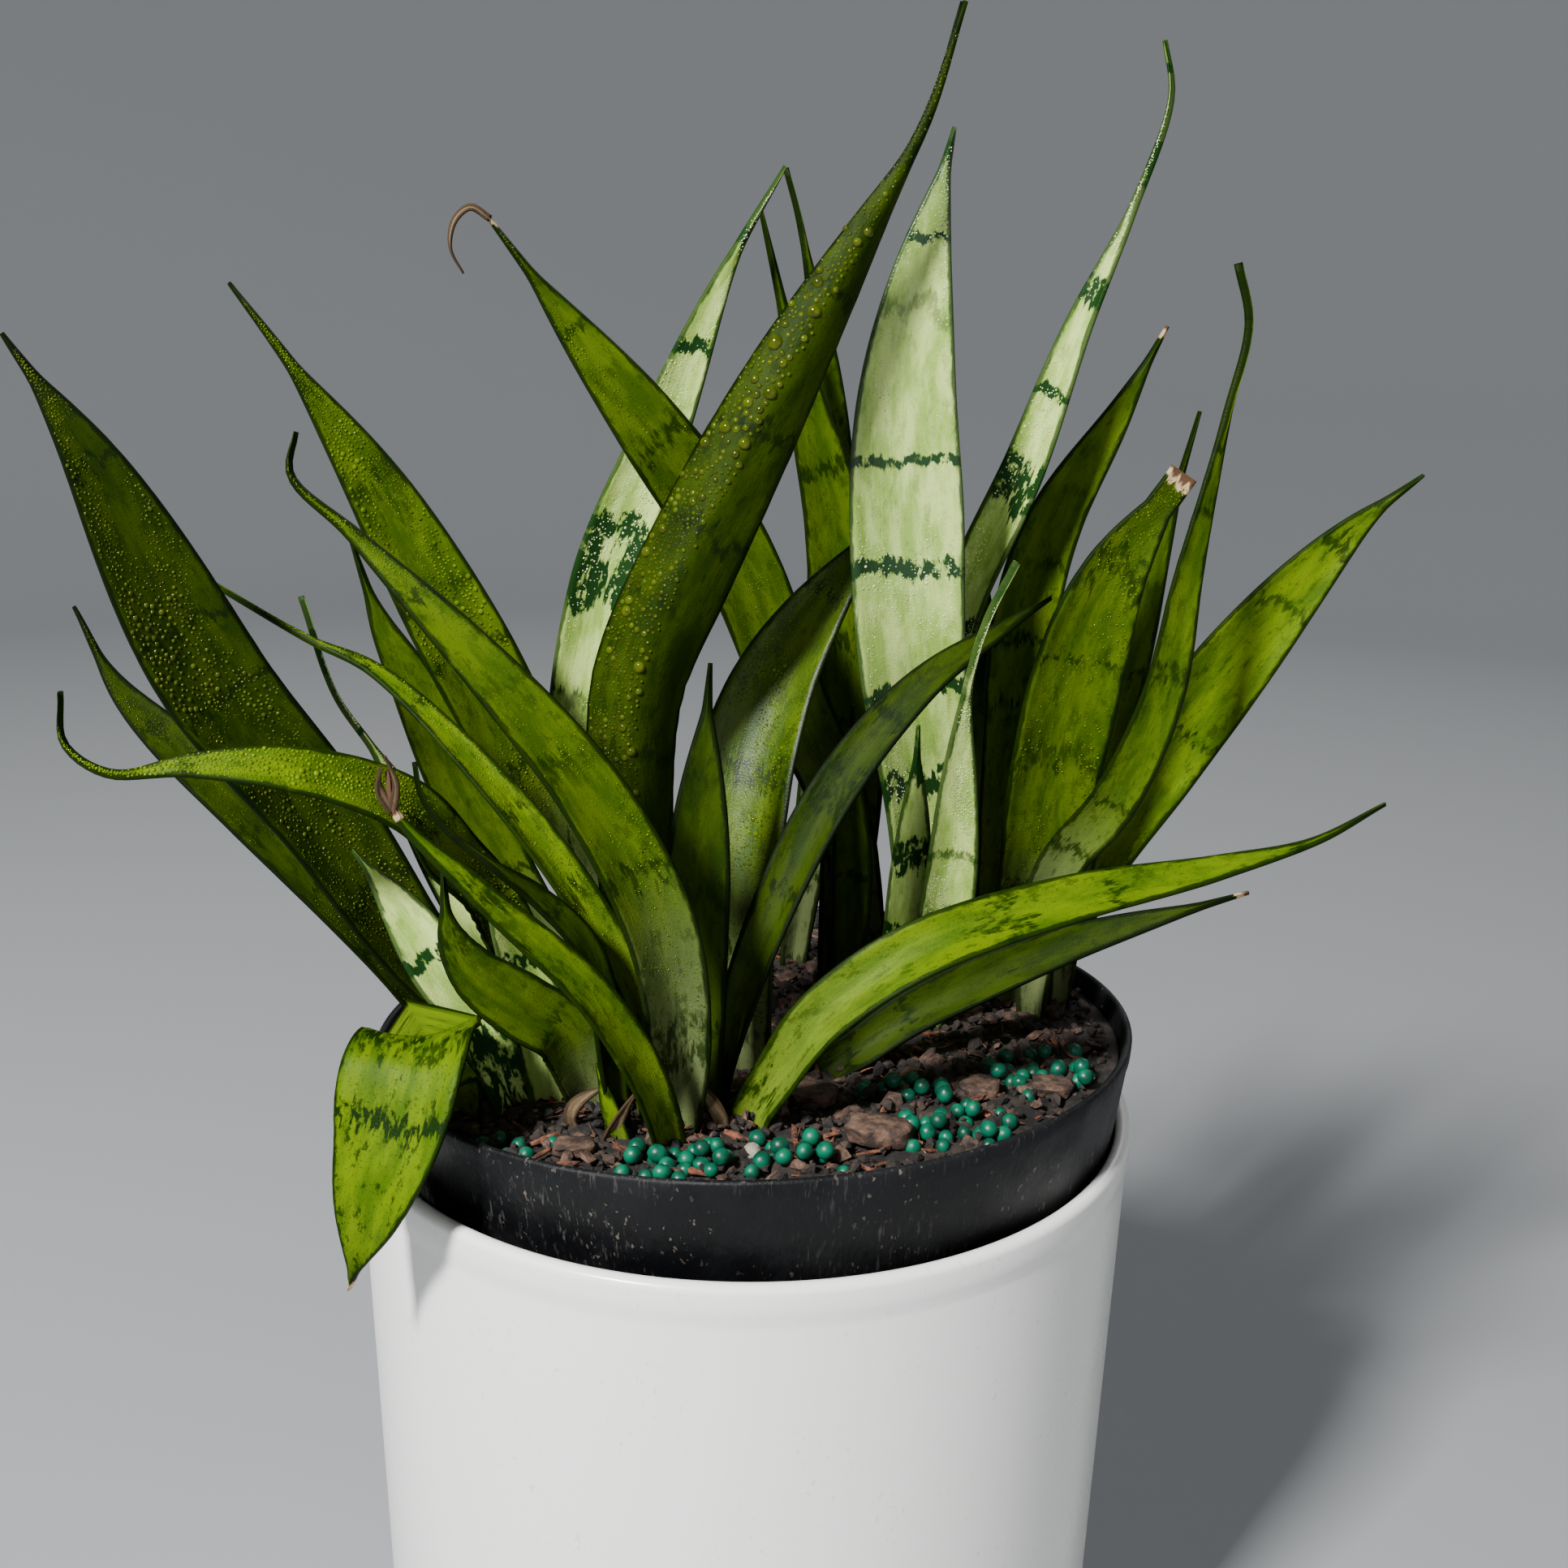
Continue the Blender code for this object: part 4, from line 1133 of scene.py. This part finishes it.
@dataclass
class NurseryPot:
    """Thin black pot with a deep lip band, standing a little crooked."""

    height: float = POT_HEIGHT
    lip_radius: float = 80.0
    lip_depth: float = 22.0
    lip_foot_radius: float = 76.2
    shoulder_radius: float = 73.8
    foot_radius: float = 55.0
    wall: float = 1.6
    floor: float = 1.8
    steps: int = 160
    hole_count: int = 6
    hole_radius: float = 4.5
    hole_circle: float = 38.0
    hole_cut: float = 10.0

    def inner_radius(self, z: float) -> float:
        """Inside radius at a height above the pot's own underside."""
        lip_foot = self.height - self.lip_depth
        if z >= lip_foot:
            share = (z - lip_foot) / self.lip_depth
            return self.lip_foot_radius + share * (self.lip_radius - self.lip_foot_radius) - self.wall
        return self.foot_radius + z / lip_foot * (self.shoulder_radius - self.foot_radius) - self.wall

    def profile(self) -> list[Pair]:
        """Cross-section from the floor's middle, up the inside and down the outside."""
        lip_foot = self.height - self.lip_depth
        points = [(0.0, self.floor), (self.inner_radius(self.floor), self.floor)]
        points += [(self.inner_radius(z), z) for z in (lip_foot - 2, lip_foot + 1)]
        points += [(self.lip_radius - self.wall - 0.2, self.height - 1.4)]
        points += arc((self.lip_radius - 0.8, self.height - 0.8), 0.8, 180, 0, 8)
        points += [(self.lip_radius - 0.25, self.height - 3.2), (self.lip_radius - 0.55, self.height - 3.8)]
        points += [(self.lip_foot_radius + 0.2, lip_foot + 0.8), (self.lip_foot_radius - 0.4, lip_foot)]
        points += [(self.shoulder_radius, lip_foot), (self.foot_radius + 0.4, 3.0)]
        return points + [(self.foot_radius - 1.5, 0.0), (0.0, 0.0)]

    def build(self, finishes: Finishes) -> bpy.types.Object:
        """Makes the pot, leans it and cuts its drain holes."""
        bm = lathe(self.profile(), self.steps)
        bmesh.ops.transform(bm, matrix=pot_turn(), verts=bm.verts)
        shell = as_piece("pot_shell", bm, finishes.pot(), ("nursery_pot",))
        cutters = bmesh.new()
        for i in range(self.hole_count):
            angle = math.tau * i / self.hole_count
            centre = (self.hole_circle * math.cos(angle), self.hole_circle * math.sin(angle), 0)
            bmesh.ops.create_cone(cutters, cap_ends=True, segments=24, radius1=self.hole_radius,
                                  radius2=self.hole_radius, depth=self.hole_cut,
                                  matrix=pot_turn() @ Matrix.Translation(centre))
        cutter = as_object("drain_cutters", cutters, smooth=False)
        cut = shell.modifiers.new("drain", "BOOLEAN")
        cut.operation = "DIFFERENCE"
        cut.solver = "EXACT"
        cut.object = cutter
        graph = bpy.context.evaluated_depsgraph_get()
        drilled = bpy.data.meshes.new_from_object(shell.evaluated_get(graph))
        shell.modifiers.clear()
        shell.data = drilled
        bpy.data.objects.remove(cutter)
        return shell


# --------------------------------------------------------------------------------------------------
# Mix, bark, fibre and feed granules


def clear_of_leaves(x: float, y: float, room: float) -> bool:
    """Whether a place on the mix is at least room away from every leaf's base."""
    return all(math.hypot((x - leaf.base[0]) / (leaf.width * 0.4 + room), (y - leaf.base[1]) / (2 + room)) > 1
               for leaf in LEAVES)


MIX_LOOKS = {
    "mix_dark": ((0.0035, 0.0026, 0.0020), (0.030, 0.019, 0.013), 240.0),
    "mix_clod": ((0.007, 0.0045, 0.0032), (0.058, 0.035, 0.023), 330.0),
    "bark_surface": ((0.022, 0.011, 0.007), (0.135, 0.075, 0.048), 300.0),
    "splinter_red": ((0.045, 0.013, 0.006), (0.22, 0.075, 0.032), 500.0),
    "bark_pale": ((0.10, 0.07, 0.045), (0.36, 0.27, 0.19), 500.0),
}


@dataclass(frozen=True)
class Litter:
    """One kind of broken bit: half lengths in millimetres, width and thickness as shares of the length."""

    name: str
    look: str
    count: int
    sizes: Pair
    across: Pair
    deep: Pair
    lumpiness: float
    seed: int


LITTER = (
    Litter("mix_crumbs_dark", "mix_dark", 1500, (0.5, 1.9), (0.6, 0.95), (0.5, 0.9), 0.75, 3),
    Litter("mix_crumbs_brown", "mix_clod", 1100, (0.4, 2.0), (0.5, 0.9), (0.4, 0.8), 0.75, 5),
    Litter("mix_chips_bark", "bark_surface", 520, (0.9, 3.4), (0.35, 0.75), (0.2, 0.45), 0.8, 7),
    Litter("mix_splinters_red", "splinter_red", 620, (0.9, 3.6), (0.12, 0.3), (0.10, 0.25), 0.5, 9),
    Litter("mix_splinters_pale", "bark_pale", 70, (0.5, 1.7), (0.15, 0.4), (0.12, 0.3), 0.5, 10),
)
CHIPS = ("bark_chip_dark", "bark_chip_large", "bark_chip_right", "bark_chip_edge", "bark_chip_left")


@dataclass
class PottingMix:
    """Coarse mix with clods, broken bark, splinters and fibres on top."""

    pot: NurseryPot
    rings: int = 120
    spokes: int = 260
    gap: float = 0.3
    litter_reach: float = 75.6
    fibre_reach: float = 66.0
    fibre_count: int = 110
    fibre_seed: int = 16

    def build(self, finishes: Finishes) -> None:
        """Makes the mix and what lies on it."""
        made = {name: finishes.crumbly(name, *look) for name, look in MIX_LOOKS.items()}
        self.body(made["mix_dark"])
        for kind in LITTER:
            self.scatter(kind, made[kind.look])
        self.fibre_layer(made["splinter_red"])
        for node in CHIPS:
            self.chip(node, made["bark_surface"])

    def body(self, finish: bpy.types.Material) -> None:
        """The mix itself: a solid plug with a lumpy top."""
        pot = self.pot
        top = POT_HEIGHT - SOIL_BELOW_LIP
        lip_foot = pot.height - pot.lip_depth
        foot = pot.floor + self.gap
        rim = pot.inner_radius(top) - self.gap
        profile = [(rim * i / self.rings, top) for i in range(self.rings + 1)]
        profile += [(pot.inner_radius(z) - self.gap, z) for z in (lip_foot + 1, lip_foot - 2, foot)]
        bm = lathe([*profile, (0.0, foot)], self.spokes)
        for vert in bm.verts:
            if vert.co.z > top - 0.01:
                inward = min((rim - math.hypot(vert.co.x, vert.co.y)) / 4, 1)
                lump = noise.fractal(vert.co * 0.11, 0.6, 2.2, 5) * 1.5
                lump += abs(noise.noise(vert.co * 0.55)) * 1.2
                vert.co.z += (lump + noise.noise(vert.co * 1.3) * 0.45) * (0.25 + 0.75 * max(inward, 0))
        bmesh.ops.transform(bm, matrix=pot_turn(), verts=bm.verts)
        as_piece("mix_body", bm, finish, ("potting_mix",))

    def scatter(self, kind: Litter, finish: bpy.types.Material) -> None:
        """Broken bits of one kind over the mix, as one piece; their name decides where they fall."""
        draws = random.Random(kind.name)
        bit = pebble(1, kind.lumpiness, kind.seed)
        bm = bmesh.new()
        smallest, largest = kind.sizes
        for _ in range(kind.count):
            size = smallest + (largest - smallest) * draws.random() ** 2.2
            reach = (self.litter_reach - size) * math.sqrt(draws.random())
            angle = draws.uniform(0, math.tau)
            x, y = POT_MOUTH.x + reach * math.cos(angle), POT_MOUTH.y + reach * math.sin(angle)
            thick = size * draws.uniform(*kind.deep)
            oval = Matrix.Diagonal((size, size * draws.uniform(*kind.across), thick, 1))
            spin = Euler((draws.gauss(0, 0.35), draws.gauss(0, 0.35), draws.uniform(0, math.tau)))
            rise = 0.6 + thick * draws.uniform(0.1, 0.9) + abs(noise.noise(Vector((x, y, 3)) * 0.11)) * 1.4
            place = Matrix.Translation((x, y, soil_height(x, y) + rise))
            bit.press(bm, place @ spin.to_matrix().to_4x4() @ oval)
        bit.clear()
        as_piece(kind.name, bm, finish, smooth=False)

    def fibre_layer(self, finish: bpy.types.Material) -> None:
        """Thin curved fibres lying on the mix."""
        draws = random.Random(self.fibre_seed)
        bm = bmesh.new()
        thread = bmesh.new()
        bmesh.ops.create_cone(thread, cap_ends=True, segments=5, radius1=1.0, radius2=0.5, depth=2.0)
        long_edges = [edge for edge in thread.edges if edge.calc_length() > 1.5]
        bmesh.ops.subdivide_edges(thread, edges=long_edges, cuts=4)
        for vert in thread.verts:
            vert.co.x += 3.0 * vert.co.z * vert.co.z
        bent = Stamp(thread)
        for _ in range(self.fibre_count):
            reach = self.fibre_reach * math.sqrt(draws.random())
            angle = draws.uniform(0, math.tau)
            x, y = POT_MOUTH.x + reach * math.cos(angle), POT_MOUTH.y + reach * math.sin(angle)
            thick = draws.uniform(0.10, 0.22)
            stretch = Matrix.Diagonal((thick, thick, draws.uniform(2, 5), 1))
            flat = Matrix.Rotation(math.radians(90 + draws.uniform(-14, 14)), 4, "Y")
            turned = Matrix.Rotation(draws.uniform(0, math.tau), 4, "Z") @ flat
            bent.press(bm, Matrix.Translation((x, y, soil_height(x, y) + 2.0)) @ turned @ stretch)
        bent.clear()
        as_piece("mix_fibres", bm, finish)

    def chip(self, node: str, finish: bpy.types.Material) -> None:
        """One of the larger bark chips, in its frame node's place."""
        draws = random.Random(node)
        low, high = (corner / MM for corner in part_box(node))
        centre, size = (low + high) / 2, high - low
        bm = bmesh.new()
        bmesh.ops.create_cube(bm, size=1.0)
        bmesh.ops.subdivide_edges(bm, edges=bm.edges[:], cuts=5, use_grid_fill=True)
        turn = Matrix.Rotation(draws.uniform(-0.4, 0.4), 4, "Z")
        for vert in bm.verts:
            at = vert.co.copy()
            round_off = 1 - 0.16 * (at.x**4 + at.y**4) * 16
            at = Vector((at.x * size.x * 0.9, at.y * size.y * 0.8, at.z * size.z * 0.7)) * round_off
            seed_at = at * 0.35 + Vector((len(node), 0, 0))
            at += Vector((noise.noise(seed_at), noise.noise(seed_at + Vector((9, 0, 0))), 0)) * 1.2
            at.z += noise.noise(at * 0.9) * 0.5
            vert.co = turn @ at
        bmesh.ops.translate(bm, vec=centre, verts=bm.verts)
        bmesh.ops.recalc_face_normals(bm, faces=bm.faces)
        as_piece(node + "_piece", bm, finish, (node,))


@dataclass
class FeedGranules:
    """Round coated feed granules lying in drifts on the mix."""

    radius: float = 1.7
    spacing: float = 2.9
    reach: float = 76.5
    faded_at: Pair = (2.5, -60.5)
    faded_room: float = 3.4
    leaf_room: float = 1.5
    drifts: tuple[tuple[str, Pair, Pair, int], ...] = (
        ("granules_front", (-2, -64), (20, 6), 34),
        ("granules_right", (60, -27), (11, 10), 22),
        ("granules_middle", (32, -31), (9, 4), 12),
        ("granules_right_front", (42, -50), (11, 9), 24),
        ("granules_left", (-41, -56), (8, 3), 6),
    )

    def build(self, finishes: Finishes) -> None:
        """Makes each drift as one piece that stands for its frame node."""
        coating = finishes.granule()
        bead = pebble(2, 0.05, 2)
        for node, centre, spread, count in self.drifts:
            draws = random.Random(node)
            bm = bmesh.new()
            taken: list[Vector] = []
            for _ in range(count * 20):
                x = centre[0] + draws.gauss(0, 0.5) * spread[0]
                y = centre[1] + draws.gauss(0, 0.5) * spread[1]
                radius = self.radius * draws.uniform(0.82, 1.1)
                level = draws.uniform(-0.2, 0.7) if draws.random() < 0.82 else 1.4
                at = Vector((x, y, soil_height(x, y) + radius * level + 0.9))
                inside = math.hypot(x - POT_MOUTH.x, y - POT_MOUTH.y) < self.reach - radius
                apart = all((at - other).length > self.spacing for other in taken)
                apart = apart and math.hypot(x - self.faded_at[0], y - self.faded_at[1]) > self.faded_room
                free = inside and apart and clear_of_leaves(x, y, self.leaf_room)
                if len(taken) >= count or not free:
                    continue
                taken.append(at)
                spin = Euler([draws.uniform(0, 6) for _ in range(3)]).to_matrix().to_4x4()
                flat, deep = draws.uniform(0.9, 1), draws.uniform(0.88, 1)
                oval = Matrix.Diagonal((radius, radius * flat, radius * deep, 1))
                bead.press(bm, Matrix.Translation(at) @ spin @ oval)
            as_piece(node + "_drift", bm, coating, (node,))
            log.info("%s: %d granules", node, len(taken))
        faded = finishes.crumbly("granule_faded", (0.22, 0.19, 0.14), (0.52, 0.47, 0.38), 420.0)
        bm = bmesh.new()
        x, y = self.faded_at
        at = Vector((x, y, soil_height(x, y) + self.radius))
        bead.press(bm, Matrix.Translation(at) @ Matrix.Diagonal((self.radius, self.radius, self.radius, 1)))
        as_piece("granule_faded", bm, faded)
        bead.clear()


# --------------------------------------------------------------------------------------------------
# Studio


@dataclass(frozen=True)
class Lamp:
    """A square soft light; its place and side are in metres and its power in watts."""

    name: str
    place: Triple
    side: float
    power: float


@dataclass
class Studio:
    """Plain pale floor, soft light and the camera."""

    eye: Triple = (7, -357, 315)
    pitch: float = 15.2
    roll: float = 1.1
    lens: float = 41.0
    floor_level: float = -0.5
    floor_reach: float = 1500.0
    sweep: float = 900.0
    backdrop_top: float = 2600.0
    floor_colour: Triple = (0.29, 0.30, 0.31)
    sky_colour: Triple = (0.80, 0.84, 0.88)
    sky_strength: float = 0.25
    aim: Triple = (0, 0, 0.2)
    lamps: tuple[Lamp, ...] = (
        Lamp("key", (-0.68, -0.95, 1.20), 0.22, 64.0),
        Lamp("fill", (0.5, -1.4, 0.40), 1.2, 5.0),
        Lamp("back", (0.5, 1.1, 1.2), 0.8, 5.0),
    )

    def camera(self) -> None:
        """Places the camera and makes it the scene's."""
        data = bpy.data.cameras.new("view")
        data.lens = self.lens
        data.sensor_width = 36.0
        data.clip_start = 0.01
        camera = bpy.data.objects.new("view", data)
        bpy.context.scene.collection.objects.link(camera)
        tilt = Matrix.Rotation(math.radians(90 - self.pitch), 4, "X")
        turn = tilt @ Matrix.Rotation(math.radians(self.roll), 4, "Z")
        camera.matrix_world = Matrix.Translation(Vector(self.eye) * MM) @ turn
        bpy.context.scene.camera = camera

    def floor(self) -> None:
        """A pale floor that sweeps up into a backdrop all round."""
        bend = arc((self.floor_reach, self.floor_level + self.sweep), self.sweep, -90, 0, 16)
        wall = (self.floor_reach + self.sweep, self.backdrop_top)
        bm = lathe([(0, self.floor_level), (self.floor_reach, self.floor_level), *bend[1:], wall], 64)
        bmesh.ops.reverse_faces(bm, faces=bm.faces)
        made, _, shader = principled("floor_pale")
        shader.inputs["Base Color"].default_value = (*self.floor_colour, 1.0)
        shader.inputs["Roughness"].default_value = 0.85
        as_object("floor", bm, made)

    def lamp(self, plan: Lamp) -> None:
        """Hangs one light, turned towards the plant."""
        data = bpy.data.lights.new(plan.name, "AREA")
        data.size = plan.side
        data.energy = plan.power
        lamp = bpy.data.objects.new(plan.name, data)
        lamp.location = plan.place
        away = Vector(plan.place) - Vector(self.aim)
        lamp.rotation_euler = away.to_track_quat("Z", "Y").to_euler()
        bpy.context.scene.collection.objects.link(lamp)

    def build(self) -> None:
        """Sets up the studio."""
        self.camera()
        self.floor()
        for plan in self.lamps:
            self.lamp(plan)
        world = bpy.data.worlds.new("studio")
        world.use_nodes = True
        sky = world.node_tree.nodes["Background"].inputs
        sky["Color"].default_value = (*self.sky_colour, 1.0)
        sky["Strength"].default_value = self.sky_strength
        bpy.context.scene.world = world


def main() -> None:
    """Builds the plant and its studio in order."""
    logging.basicConfig(level=logging.INFO, format="%(message)s")
    finishes = Finishes()
    Studio().build()
    OuterPlanter().build(finishes)
    pot = NurseryPot()
    pot.build(finishes)
    PottingMix(pot).build(finishes)
    FeedGranules().build(finishes)
    Foliage().build(finishes)


if __name__ == "__main__":
    main()
